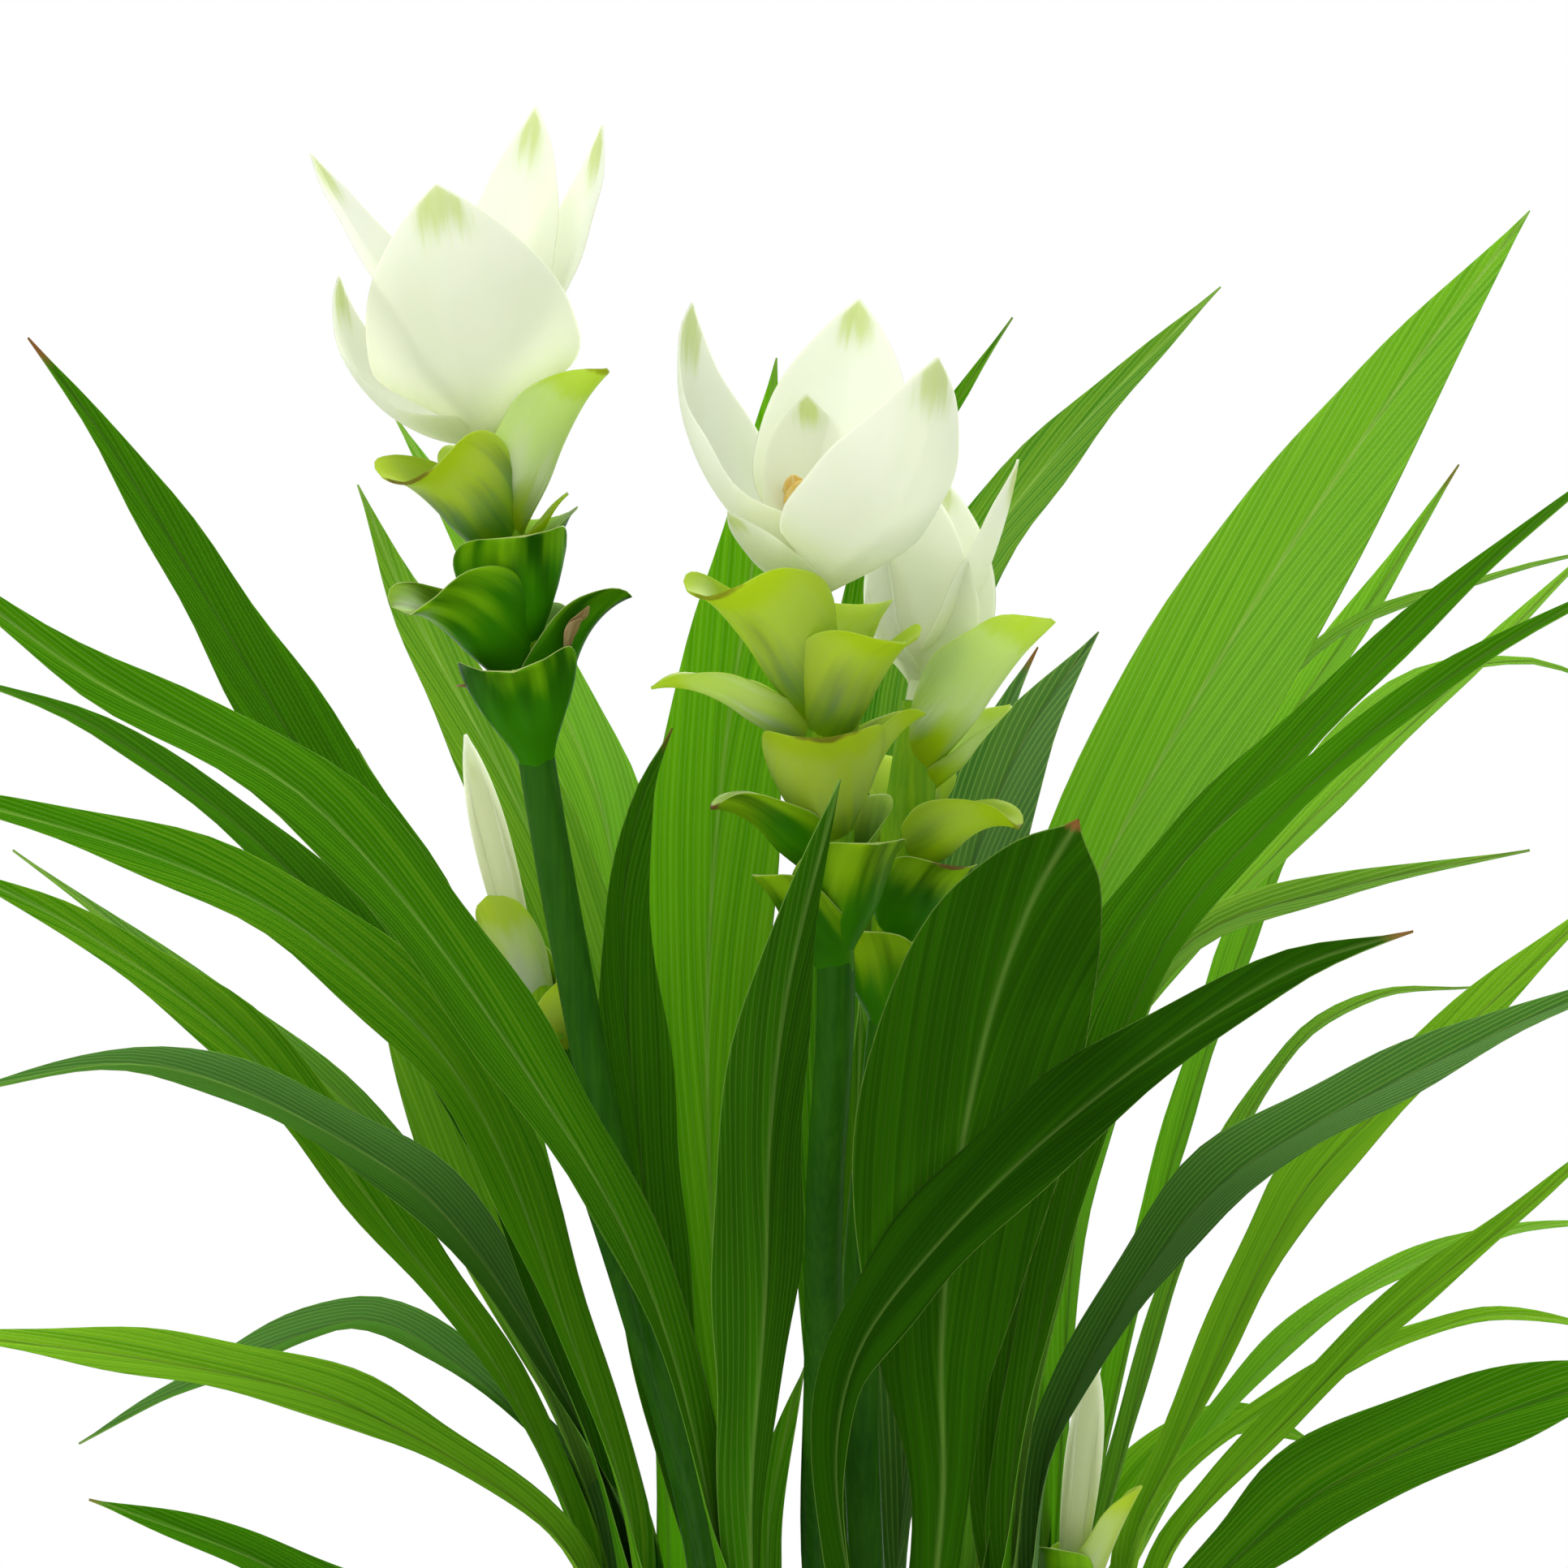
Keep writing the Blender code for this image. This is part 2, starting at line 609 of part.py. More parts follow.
def add_node(name, mesh, material):
    mesh.materials.clear()
    mesh.materials.append(material)
    mesh.shade_smooth()
    mesh.set_sharp_from_angle(angle=math.radians(SHARP_ANGLE))
    node = bpy.data.objects.new(name, mesh)
    plant.objects.link(node)
    return node


def turned(name, profile, steps, collection):
    """A profile of (radius, height) points turned round the pot's axis."""
    mesh = bpy.data.meshes.new(name)
    ends = [(i, i + 1) for i in range(len(profile) - 1)]
    mesh.from_pydata([(radius, 0, height) for radius, height in profile], ends, [])
    thing = bpy.data.objects.new(name, mesh)
    collection.objects.link(thing)
    screw = thing.modifiers.new("Turn", "SCREW")
    screw.steps = steps
    screw.render_steps = steps
    screw.use_merge_vertices = True
    screw.merge_threshold = MERGE
    return thing


def upright_cutter(name, place, radius, low, high, sides):
    """An upright cylinder that cuts a plain hole."""
    mesh = bpy.data.meshes.new(name)
    rod = bmesh.new()
    bmesh.ops.create_cone(
        rod, cap_ends=True, segments=sides, radius1=radius, radius2=radius, depth=high - low
    )
    bmesh.ops.translate(rod, verts=rod.verts, vec=(*place, (low + high) / 2))
    rod.to_mesh(mesh)
    rod.free()
    cutter = bpy.data.objects.new(name, mesh)
    cutter.hide_render = True
    cutter.display_type = "WIRE"
    return cutter


def cut(thing, cutters):
    bore = thing.modifiers.new("Holes", "BOOLEAN")
    bore.operation = "DIFFERENCE"
    bore.operand_type = "COLLECTION"
    bore.collection = cutters


def inner_radius(height):
    """The pot's inside radius, which widens evenly from its floor to its rim."""
    share = (height - POT_FLOOR) / (POT_HEIGHT - POT_FLOOR)
    low = POT_FOOT_RADIUS - POT_WALL
    return low + (POT_TOP_RADIUS - POT_WALL - low) * share


def make_pot():
    rim = POT_WALL / 2
    middle = POT_TOP_RADIUS - rim
    profile = [(0, POT_FLOOR), (inner_radius(POT_FLOOR), POT_FLOOR)]
    for angle in RIM_ANGLES:
        turn = math.radians(angle)
        profile.append((middle + rim * math.cos(turn), POT_HEIGHT - rim + rim * math.sin(turn)))
    profile += [
        (POT_FOOT_RADIUS, FOOT_CHAMFER),
        (POT_FOOT_RADIUS - FOOT_CHAMFER, 0),
        (0, 0),
    ]
    pot = turned("pot", profile, POT_SIDES, plant)
    drains = new_collection("drain_cutters")
    for i in range(DRAIN_COUNT):
        turn = 2 * math.pi * (i + 0.5) / DRAIN_COUNT
        place = (DRAIN_CIRCLE * math.cos(turn), DRAIN_CIRCLE * math.sin(turn))
        drains.objects.link(upright_cutter(f"drain_{i}", place, DRAIN_RADIUS, -CM, 2 * CM, DRAIN_SIDES))
    cut(pot, drains)
    pot.data.materials.append(new_material("white ceramic", (0.86, 0.86, 0.84), 0.45))


def soil_bump(x, y):
    """Low uneven relief of the soil's surface."""
    across = math.sin(x / CM * SOIL_WAVES[0] + SOIL_PHASES[0])
    return SOIL_RELIEF * across * math.cos(y / CM * SOIL_WAVES[1] + SOIL_PHASES[1])


def make_soil():
    floor = POT_FLOOR + GAP
    edge = inner_radius(SOIL_TOP) - GAP
    profile = [(0, SOIL_TOP + SOIL_MOUND)]
    for share in (0.33, 0.67, 1):
        profile.append((edge * share, SOIL_TOP + SOIL_MOUND * (1 - share * share)))
    profile += [(inner_radius(floor) - GAP, floor), (0, floor)]
    guide = turned("soil_guide", profile, POT_SIDES, helpers)
    mesh = evaluated_mesh(guide)
    bpy.data.objects.remove(guide)
    for corner in mesh.vertices:
        if corner.co.z > SOIL_TOP + SOIL_MOUND / 10:
            corner.co.z += soil_bump(corner.co.x, corner.co.y)
    soil = add_node("soil", mesh, new_material("potting soil", (0.05, 0.033, 0.022), 0.95))
    holes = new_collection("root_cutters")
    stands = [(shoot["foot"], SHOOT_FOOT) for shoot in SHOOTS.values()]
    stands += [(flower["foot"], STEM_RADIUS) for flower in FLOWERS.values()]
    for i, (foot, radius) in enumerate(stands):
        place = (foot[0] * CM, foot[1] * CM)
        low = SOIL_TOP - ROOT_DEPTH - GAP
        wide = radius + HOLE_SLACK
        holes.objects.link(upright_cutter(f"root_{i}", place, wide, low, POT_HEIGHT, ROOT_SIDES))
    cut(soil, holes)


def leaf(name, start, width, turns, route):
    """A folded blade on a channelled stalk, from inside its shoot to its tip."""
    knots = [seen(*point) for point in route]
    spread = Vector((knots[0].x - start.x, knots[0].y - start.y, 0)).normalized() * LEAF_SPREAD
    knots = [start + spread, *knots]
    length = sum((knots[i + 1] - knots[i]).length for i in range(len(knots) - 1))
    steps = min(max(round(length / LEAF_STEP_LENGTH), LEAF_STEPS[0]), LEAF_STEPS[1])
    places = smooth_route(knots, steps)
    side = 1 if places[-1].x < places[0].x else -1
    rows = []
    for i, place in enumerate(places):
        along = (places[min(i + 1, steps)] - places[max(i - 1, 0)]).normalized()
        share = i / steps
        turn = math.radians(between(turns, share))
        view = (EYE - place).normalized()
        facing = (view - along * view.dot(along)).normalized()
        face = facing * math.cos(turn) + along.cross(facing) * side * math.sin(turn)
        fold = math.radians(LEAF_FOLD + (STALK_FOLD - LEAF_FOLD) * (1 - ease(share / FOLD_SHARE)))
        rows.append((place, along.cross(face), face, leaf_width(share, width * CM) / 2, fold))

    def on_blade(across, along):
        place, sideways, face, half, fold = rows[round(along * steps)]
        reach = across * half
        return place + sideways * reach * math.cos(fold) + face * abs(reach) * math.sin(fold)

    return bent_sheet(name, (2, steps), on_blade)


def leaf_width(share, width):
    stalk = min(STALK_WIDTH, width * NARROW_STALK)
    if share < WIDEST_SHARE:
        return stalk + (width - stalk) * ease((share - STALK_SHARE) / (WIDEST_SHARE - STALK_SHARE))
    past = (share - WIDEST_SHARE) / (1 - WIDEST_SHARE)
    return max(TIP_WIDTH, width * (1 - past ** POINT_POWERS[0]) ** POINT_POWERS[1])


def make_shoot(name, shoot, material):
    foot = Vector((shoot["foot"][0], shoot["foot"][1], 0)) * CM
    neck = Vector(shoot["neck"]) * CM
    low = foot.copy()
    low.z = SOIL_TOP - ROOT_DEPTH
    ground = foot.copy()
    ground.z = SOIL_TOP + COLLAR
    middle = ground.lerp(neck, 0.5)
    radii = [SHOOT_FOOT, SHOOT_FOOT, (SHOOT_FOOT + SHOOT_NECK) / 2, SHOOT_NECK]
    pieces = [tube(name + "_stem", [low, ground, middle, neck], radii)]
    for i, (width, turns, route) in enumerate(shoot["leaves"]):
        start = neck - (neck - middle).normalized() * LEAF_SINK
        pieces.append(leaf(f"{name}_leaf_{i}", start, width, turns, route))
    fuse(name, pieces, material)


def bract(name, axis, shape, kind):
    """A cupped blade that leaves the spike and leans out from it."""
    rise, heading, length, width, lean_start, lean_end = shape
    foot, end = axis
    up = (end - foot).normalized()
    view = (EYE - foot).normalized()
    front = (view - up * view.dot(up)).normalized()
    turn = math.radians(heading)
    out = front * math.cos(turn) + up.cross(front) * math.sin(turn)
    sideways = up.cross(out)
    steps = kind["steps"][1]
    place = foot + up * rise * CM + out * kind["stand"]
    rows = []
    for i in range(steps + 1):
        share = i / steps
        lean = math.radians(lean_start + (lean_end - lean_start) * share ** kind["flare"])
        outer = out * math.cos(lean) - up * math.sin(lean)
        curl = BRACT_ROOT_CURL + (kind["curl"] - BRACT_ROOT_CURL) * ease(share * kind["pace"])
        pouch = out * kind["belly"] * ease(share * POUCH_PACE)
        rows.append((place + pouch, outer, curl, bract_width(share, width * CM, kind) / 2))
        lean = math.radians(lean_start + (lean_end - lean_start) * (share + 0.5 / steps) ** kind["flare"])
        place += (out * math.sin(lean) + up * math.cos(lean)) * length * CM / steps

    def on_bract(across, along):
        place, outer, curl, half = rows[round(along * steps)]
        angle = across * half / curl
        return place + sideways * curl * math.sin(angle) - outer * curl * (1 - math.cos(angle))

    return bent_sheet(name, kind["steps"], on_bract)


def bract_width(share, width, kind):
    if share < kind["widest"]:
        short = 1 - share / kind["widest"]
        return width * (1 - (1 - kind["root"]) * short * short)
    past = (share - kind["widest"]) / (1 - kind["widest"])
    return max(TIP_WIDTH, width * max(0, 1 - past * past) ** kind["point"])


def make_flower(side, flower, stem_material, coma_material):
    bud = side.endswith("bud")
    stem_name = f"{side}_stem" if bud else f"flower_stem_{side}"
    foot = Vector((flower["foot"][0] * CM, flower["foot"][1] * CM, SOIL_TOP - ROOT_DEPTH))
    ground = Vector((foot.x, foot.y, SOIL_TOP + COLLAR))
    spike = [seen(*point) for point in flower["spike"]]
    route = smooth_route([ground, *[seen(*point) for point in flower["route"]], spike[0]], STEM_STEPS)
    points = [foot, *route, spike[1]]
    radii = [STEM_RADIUS] * (len(points) - 2) + [SPIKE_RADIUS, SPIKE_RADIUS]
    pieces = [tube(stem_name + "_core", points, radii)]
    for i, shape in enumerate(flower["bracts"]):
        kind = SHEATH_BRACT if bud else GREEN_BRACT
        pieces.append(bract(f"{stem_name}_bract_{i}", spike, shape, kind))
    fuse(stem_name, pieces, stem_material)
    coma_name = f"{side}_coma" if bud else f"coma_{side}"
    rise = (spike[1] - spike[0]).normalized()
    coma = [spike[1] + rise * GAP, seen(*flower["coma_end"])]
    points = [coma[0], coma[0] + rise * COMA_COLLAR, coma[1]]
    pieces = [tube(coma_name + "_core", points, [COMA_FOOT, COMA_FOOT, COMA_END])]
    kind = BUD_BRACT if bud else WHITE_BRACT
    for i, shape in enumerate(flower["petals"]):
        pieces.append(bract(f"{coma_name}_petal_{i}", coma, shape, kind))
    fuse(coma_name, pieces, coma_material)


clear_scene()
plant = new_collection("potted_siam_tulip")
helpers = new_collection("helpers")
make_pot()
make_soil()
leaf_green = new_material("leaf green", (0.09, 0.25, 0.03), 0.42)
bract_green = new_material("bract green", (0.2, 0.42, 0.05), 0.45)
petal_white = new_material("petal white", (0.86, 0.9, 0.74), 0.5)
for shoot_name, shoot_plan in SHOOTS.items():
    make_shoot(shoot_name, shoot_plan, leaf_green)
for flower_side, flower_plan in FLOWERS.items():
    make_flower(flower_side, flower_plan, bract_green, petal_white)
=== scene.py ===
import math
import random

import bmesh
import bpy
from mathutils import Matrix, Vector, geometry, noise


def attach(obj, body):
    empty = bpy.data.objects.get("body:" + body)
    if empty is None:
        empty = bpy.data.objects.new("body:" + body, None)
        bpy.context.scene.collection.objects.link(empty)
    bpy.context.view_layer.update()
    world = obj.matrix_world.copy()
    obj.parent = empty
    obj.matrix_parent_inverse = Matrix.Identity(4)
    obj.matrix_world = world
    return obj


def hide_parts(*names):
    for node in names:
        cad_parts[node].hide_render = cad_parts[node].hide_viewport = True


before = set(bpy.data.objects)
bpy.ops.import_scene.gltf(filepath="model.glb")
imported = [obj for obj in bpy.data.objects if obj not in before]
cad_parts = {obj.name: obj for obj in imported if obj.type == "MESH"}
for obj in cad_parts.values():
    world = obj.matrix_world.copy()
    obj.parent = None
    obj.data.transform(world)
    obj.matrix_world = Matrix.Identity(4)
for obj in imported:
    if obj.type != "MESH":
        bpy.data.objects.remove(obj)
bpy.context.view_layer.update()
cm = 0.01
fullTurn = 2 * math.pi

# The camera stands where the photograph was taken, and the tables' points are read from there
view = {
    "eye": Vector((-0.016, -0.75, 0.35)),
    "frameWidth": 0.30912,   # what the frame spans at the pot's axis
    "sensor": 36.0,
}


class Wire:
    # One socket of a node tree. Sums on it add Math nodes, and node() adds any other kind
    def __init__(self, tree, socket=None):
        self.tree = tree
        self.socket = socket

    def node(self, kind, settings=None, sockets=None, out=0):
        made = self.tree.nodes.new(kind)
        for name, value in (settings or {}).items():
            setattr(made, name, value)
        for name, value in (sockets or {}).items():
            target = self.found(made.inputs, name)
            if isinstance(value, Wire):
                self.tree.links.new(value.socket, target)
            elif value is not None:
                target.default_value = value
        return Wire(self.tree, self.found(made.outputs, out) if len(made.outputs) else None)

    def found(self, sockets, name):
        if isinstance(name, int):
            return sockets[name]
        return next(each for each in sockets if each.name == name and each.enabled)

    def math(self, operation, *others):
        sockets = dict(enumerate((self, *others)))
        return self.node("ShaderNodeMath", {"operation": operation}, sockets)

    def __add__(self, other):
        return self.math("ADD", other)

    def __sub__(self, other):
        return self.math("SUBTRACT", other)

    def __mul__(self, other):
        return self.math("MULTIPLY", other)

    def __truediv__(self, other):
        return self.math("DIVIDE", other)

    def __pow__(self, other):
        return self.math("POWER", other)

    def reflected(self, operation, other):
        return self.node("ShaderNodeMath", {"operation": operation}, {0: other, 1: self})

    def __rsub__(self, other):
        return self.reflected("SUBTRACT", other)

    def __rtruediv__(self, other):
        return self.reflected("DIVIDE", other)

    __radd__ = __add__
    __rmul__ = __mul__

    def rise(self, low, high):
        # 0 below low, 1 above high and smooth between them
        sockets = {"Value": self, "From Min": low, "From Max": high}
        return self.node("ShaderNodeMapRange", {"interpolation_type": "SMOOTHSTEP"}, sockets)

    def bell(self, width):
        # 1 at nought, fading within about that width
        away = self / width
        return (away * away * -1).math("EXPONENT")

    def mix(self, share, first, second):
        sockets = {"Factor": share, "A": shade(first), "B": shade(second)}
        return self.node("ShaderNodeMix", {"data_type": "RGBA"}, sockets, "Result")

    def moved(self, step):
        return self.node("ShaderNodeVectorMath", {"operation": "ADD"}, {0: self, 1: step})

    def clamped(self):
        return self.node("ShaderNodeClamp", None, {"Value": self})

    def scaled(self, amount):
        sockets = {"Vector": self, "Scale": amount}
        return self.node("ShaderNodeVectorMath", {"operation": "SCALE"}, sockets)


def shade(value):
    # A colour of three numbers gets its alpha, and a wire stays as it is
    return value if isinstance(value, Wire) else (*value, 1)


# Curves and easing, as the solids have them
def seen(across, up, toward):
    # A point that looks across and up on the pot's plane, in centimetres, and lies toward the eye
    eye = view["eye"]
    reach = 1 + toward * cm / eye.y
    return Vector((
        eye.x + (across * cm - eye.x) * reach,
        -toward * cm,
        eye.z + (up * cm - eye.z) * reach,
    ))


def smoothRoute(points, steps):
    # Evenly spaced points on a smooth curve through the given ones
    last = len(points) - 1
    headings = [(points[min(i + 1, last)] - points[max(i - 1, 0)]).normalized() for i in range(last + 1)]
    fine = [points[0]]
    for i in range(last):
        third = (points[i + 1] - points[i]).length / 3
        handles = points[i] + headings[i] * third, points[i + 1] - headings[i + 1] * third
        fine += geometry.interpolate_bezier(points[i], *handles, points[i + 1], 32)[1:]
    lengths = [0.0]
    for i in range(len(fine) - 1):
        lengths.append(lengths[-1] + (fine[i + 1] - fine[i]).length)
    route = [fine[0]]
    i = 0
    for step in range(1, steps):
        wanted = lengths[-1] * step / steps
        while lengths[i + 1] < wanted:
            i += 1
        share = (wanted - lengths[i]) / (lengths[i + 1] - lengths[i])
        route.append(fine[i].lerp(fine[i + 1], share))
    return [*route, fine[-1]]


def ease(share):
    share = min(max(share, 0), 1)
    return share * share * (3 - 2 * share)


def between(values, share):
    # A value read along three evenly spaced ones
    if share < 0.5:
        return values[0] + (values[1] - values[0]) * share * 2
    return values[1] + (values[2] - values[1]) * (share * 2 - 1)


def mixed(first, second, share):
    return first + (second - first) * share


# Geometry Nodes helpers
def newTree(name, inputs):
    # A tree that takes a geometry and the named inputs, each (kind, value)
    tree = bpy.data.node_groups.new(name, "GeometryNodeTree")
    tree.interface.new_socket("Geometry", in_out="INPUT", socket_type="NodeSocketGeometry")
    for title, (kind, value) in inputs.items():
        socket = tree.interface.new_socket(title, in_out="INPUT", socket_type="NodeSocket" + kind)
        if value is not None:
            socket.default_value = value
    tree.interface.new_socket("Geometry", in_out="OUTPUT", socket_type="NodeSocketGeometry")
    given = tree.nodes.new("NodeGroupInput")
    return Wire(tree), {each.name: Wire(tree, each) for each in given.outputs if each.name}


def endTree(m, shape, material):
    # Every tree realises its instances and gives the result its material
    real = m.node("GeometryNodeRealizeInstances", None, {"Geometry": shape})
    done = m.node("GeometryNodeSetMaterial", None, {"Geometry": real, "Material": material})
    m.tree.links.new(done.socket, m.tree.nodes.new("NodeGroupOutput").inputs[0])


def grown(name, mesh, tree, values):
    # The mesh that a tree makes from another, as a plain object of its own
    thing = bpy.data.objects.new(name, mesh)
    bpy.context.scene.collection.objects.link(thing)
    modifier = thing.modifiers.new("Grow", "NODES")
    modifier.node_group = tree
    for item in tree.interface.items_tree:
        if item.item_type == "SOCKET" and item.in_out == "INPUT" and item.name in values:
            modifier[item.identifier] = values[item.name]
    graph = bpy.context.evaluated_depsgraph_get()
    finished = bpy.data.meshes.new_from_object(thing.evaluated_get(graph), depsgraph=graph)
    thing.modifiers.remove(modifier)
    thing.data = finished
    finished.name = name
    return thing


def facedOut(thing):
    # Turns every face of closed shells outwards
    shell = bmesh.new()
    shell.from_mesh(thing.data)
    bmesh.ops.recalc_face_normals(shell, faces=shell.faces)
    shell.to_mesh(thing.data)
    shell.free()
    return thing


def put(thing, slot, *nodes):
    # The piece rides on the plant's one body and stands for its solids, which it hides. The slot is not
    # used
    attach(thing, "root")
    if nodes:
        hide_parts(*nodes)
    return thing


# Blades: every leaf, sheath, bract and petal is swept along its midrib with a cupped or folded section.
# Ranges are shares of a blade's length, or of its half width for the lip
bladeForm = {
    "waveGrows": (0.18, 0.5),
    "waveShift": 1.9,          # radians between the two edges' waves
    "fullWaveHalf": 0.011,     # narrower blades wave less
    "lip": (0.62, 1.05),
    "lipOpens": (0.3, 0.7),
    "lipCloses": (0.75, 1.0),
    "keelRoot": 1.15,
    "keelOver": 0.30,
    "keelUnder": 1.0,
    "loopRadius": 0.001,
}


def makeBladeTree():
    form = bladeForm
    m, given = newTree("blade", {
        "Sides": ("Int", 40),
        "Thickness": ("Float", 0.0005),
        "Keel": ("Float", 0.0005),
        "Keel Width": ("Float", 0.0009),
        "Wave": ("Float", 0.0006),
        "Wave Length": ("Float", 0.045),
        "Crowding": ("Float", 1.4),
        "Lip": ("Float", 0.0),
        "Material": ("Material", None),
    })

    def read(name, kind="FLOAT"):
        return m.node("GeometryNodeInputNamedAttribute", {"data_type": kind}, {"Name": name})

    def store(shape, name, value, kind="FLOAT", domain="POINT"):
        settings = {"data_type": kind, "domain": domain}
        sockets = {"Geometry": shape, "Name": name, "Value": value}
        return m.node("GeometryNodeStoreNamedAttribute", settings, sockets)

    position = m.node("GeometryNodeInputPosition")
    index = m.node("GeometryNodeInputIndex")
    midribs = store(given["Geometry"], "mid", position, "FLOAT_VECTOR")
    curves = m.node("GeometryNodeMeshToCurve", None, {"Mesh": midribs})
    circle = {"Resolution": given["Sides"], "Radius": form["loopRadius"]}
    loop = m.node("GeometryNodeCurvePrimitiveCircle", None, circle)
    loop = store(loop, "ring", index / given["Sides"])
    sweep = {"Curve": curves, "Profile Curve": loop, "Fill Caps": True}
    blade = m.node("GeometryNodeCurveToMesh", None, sweep)

    # The loop runs over the upper face from edge to edge and back under it
    ring = read("ring")
    even = (ring * 4 - 2).math("ABSOLUTE") - 1
    side = even.math("SIGN")
    across = side * (even.math("ABSOLUTE") ** given["Crowding"] * (math.pi / 2)).math("SINE")
    upper = (0.5 - ring).math("SIGN")
    half, bend, fold = read("half"), read("bend"), read("fold")
    metre, phase, share = read("metre"), read("phase"), read("share")
    reach = across * half
    angle = reach * bend
    flat = angle.math("SINE") / bend * fold.math("COSINE")
    lift = (1 - angle.math("COSINE")) / bend + reach.math("ABSOLUTE") * fold.math("SINE")
    turn = angle + side * fold
    edge = across * across
    waves = ((metre / given["Wave Length"] + phase) * fullTurn + side * form["waveShift"]).math("SINE")
    swell = given["Wave"] * (half / form["fullWaveHalf"]).math("MINIMUM", 1.0)
    swell = swell * share.rise(*form["waveGrows"])
    lift = lift + swell * edge * waves
    rolled = across.math("ABSOLUTE").rise(*form["lip"])
    flare = share.rise(*form["lipOpens"]) * (1 - share.rise(*form["lipCloses"]))
    lift = lift - rolled * rolled * half * given["Lip"] * flare
    rib = reach.bell(given["Keel Width"]) * given["Keel"] * (form["keelRoot"] - share)
    middle = (form["keelUnder"] + form["keelOver"]) / 2
    lift = lift - rib * (middle - upper * (middle - form["keelOver"]))
    wall = (1.02 - edge).math("SQRT") * given["Thickness"] * 0.5 * upper
    flat = flat - turn.math("SINE") * wall
    lift = lift + turn.math("COSINE") * wall
    place = read("mid", "FLOAT_VECTOR").moved(read("sideways", "FLOAT_VECTOR").scaled(flat))
    place = place.moved(read("face", "FLOAT_VECTOR").scaled(lift))
    blade = m.node("GeometryNodeSetPosition", None, {"Geometry": blade, "Position": place})
    blade = store(blade, "rim", half * (1 - across.math("ABSOLUTE")))
    blade = store(blade, "under", 0.5 - upper * 0.5)
    chart = m.node("ShaderNodeCombineXYZ", None, {"X": reach, "Y": metre})
    blade = store(blade, "UVMap", chart, "FLOAT2", "CORNER")
    blade = m.node("GeometryNodeSetShadeSmooth", None, {"Geometry": blade})
    endTree(m, blade, given["Material"])
    return m.tree


def threads(name, lines):
    # A mesh of edges alone, one run of them through each line's places
    mesh = bpy.data.meshes.new(name)
    places, links = [], []
    for line in lines:
        links += [(len(places) + i, len(places) + i + 1) for i in range(len(line) - 1)]
        places += line
    mesh.from_pydata(places, links, [])
    return mesh


def makeBlades(name, lines, sizes, material):
    # Closed blades from their midribs. A line's rows hold the midrib's place and the rest by name
    mesh = threads(name, [[row["mid"] for row in rows] for rows in lines])
    rows = [row for line in lines for row in line]
    for key in ("sideways", "face"):
        layer = mesh.attributes.new(key, "FLOAT_VECTOR", "POINT")
        layer.data.foreach_set("vector", [value for row in rows for value in row[key]])
    for key in ("half", "bend", "fold", "metre", "share", "phase", "tone", "grey", "through", "dry"):
        layer = mesh.attributes.new(key, "FLOAT", "POINT")
        layer.data.foreach_set("value", [row[key] for row in rows])
    return facedOut(grown(name, mesh, bladeTree, {**sizes, "Material": material}))


def withMetres(rows):
    # Adds each row's distance from the first
    far = 0.0
    for i, row in enumerate(rows):
        if i:
            far += (row["mid"] - rows[i - 1]["mid"]).length
        row["metre"] = far
    return rows


# Stems: round, tapered and slightly ribbed
def makeStemTree():
    m, given = newTree("stem", {
        "Sides": ("Int", 18),
        "Rib": ("Float", 0.0),
        "Ribs": ("Int", 9),
        "Material": ("Material", None),
    })
    radius = m.node("GeometryNodeInputNamedAttribute", {"data_type": "FLOAT"}, {"Name": "radius"})
    curves = m.node("GeometryNodeMeshToCurve", None, {"Mesh": given["Geometry"]})
    circle = {"Resolution": given["Sides"], "Radius": 1.0}
    loop = m.node("GeometryNodeCurvePrimitiveCircle", None, circle)
    index = m.node("GeometryNodeInputIndex")
    ridge = (index / given["Sides"] * given["Ribs"] * fullTurn).math("COSINE") * given["Rib"] + 1
    position = m.node("GeometryNodeInputPosition").scaled(ridge)
    loop = m.node("GeometryNodeSetPosition", None, {"Geometry": loop, "Position": position})
    sweep = {"Curve": curves, "Profile Curve": loop, "Scale": radius, "Fill Caps": True}
    stem = m.node("GeometryNodeCurveToMesh", None, sweep)
    stem = m.node("GeometryNodeSetShadeSmooth", None, {"Geometry": stem})
    endTree(m, stem, given["Material"])
    return m.tree


def makeStem(name, line, sizes, material):
    # A closed stem from a line of (place, radius)
    mesh = threads(name, [[place for place, radius in line]])
    layer = mesh.attributes.new("radius", "FLOAT", "POINT")
    layer.data.foreach_set("value", [radius for place, radius in line])
    return facedOut(grown(name, mesh, stemTree, {**sizes, "Material": material}))


# Paint
def newPaint(name):
    material = bpy.data.materials.new(name)
    material.use_nodes = True
    material.node_tree.nodes.clear()
    return material, Wire(material.node_tree)


def noiseAt(m, vector, scale, detail=2.0, roughness=0.5):
    sockets = {"Vector": vector, "Scale": scale, "Detail": detail, "Roughness": roughness}
    return m.node("ShaderNodeTexNoise", None, sockets)


def traits(m, *names):
    # Numbers of a blade, as its rows gave them to its mesh
    return [m.node("ShaderNodeAttribute", {"attribute_name": name}, None, "Fac") for name in names]


def objectPlace(m):
    return m.node("ShaderNodeTexCoord", None, None, "Object")


def bladeChart(m):
    # Metres across and along a blade, from its own UV map
    chart = m.node("ShaderNodeUVMap", {"uv_map": "UVMap"})
    return [m.node("ShaderNodeSeparateXYZ", None, {"Vector": chart}, axis) for axis in "XY"]


def drawnOut(m, across, along, stretch, detail=2.0, roughness=0.5):
    # Noise along a blade, by its frequency across it and along it and by how unlike two blades are
    x, y, z = stretch
    sockets = {"X": across * x, "Y": along * y, "Z": traits(m, "phase")[0] * z}
    spread = m.node("ShaderNodeCombineXYZ", None, sockets)
    return noiseAt(m, spread, 1.0, detail, roughness)


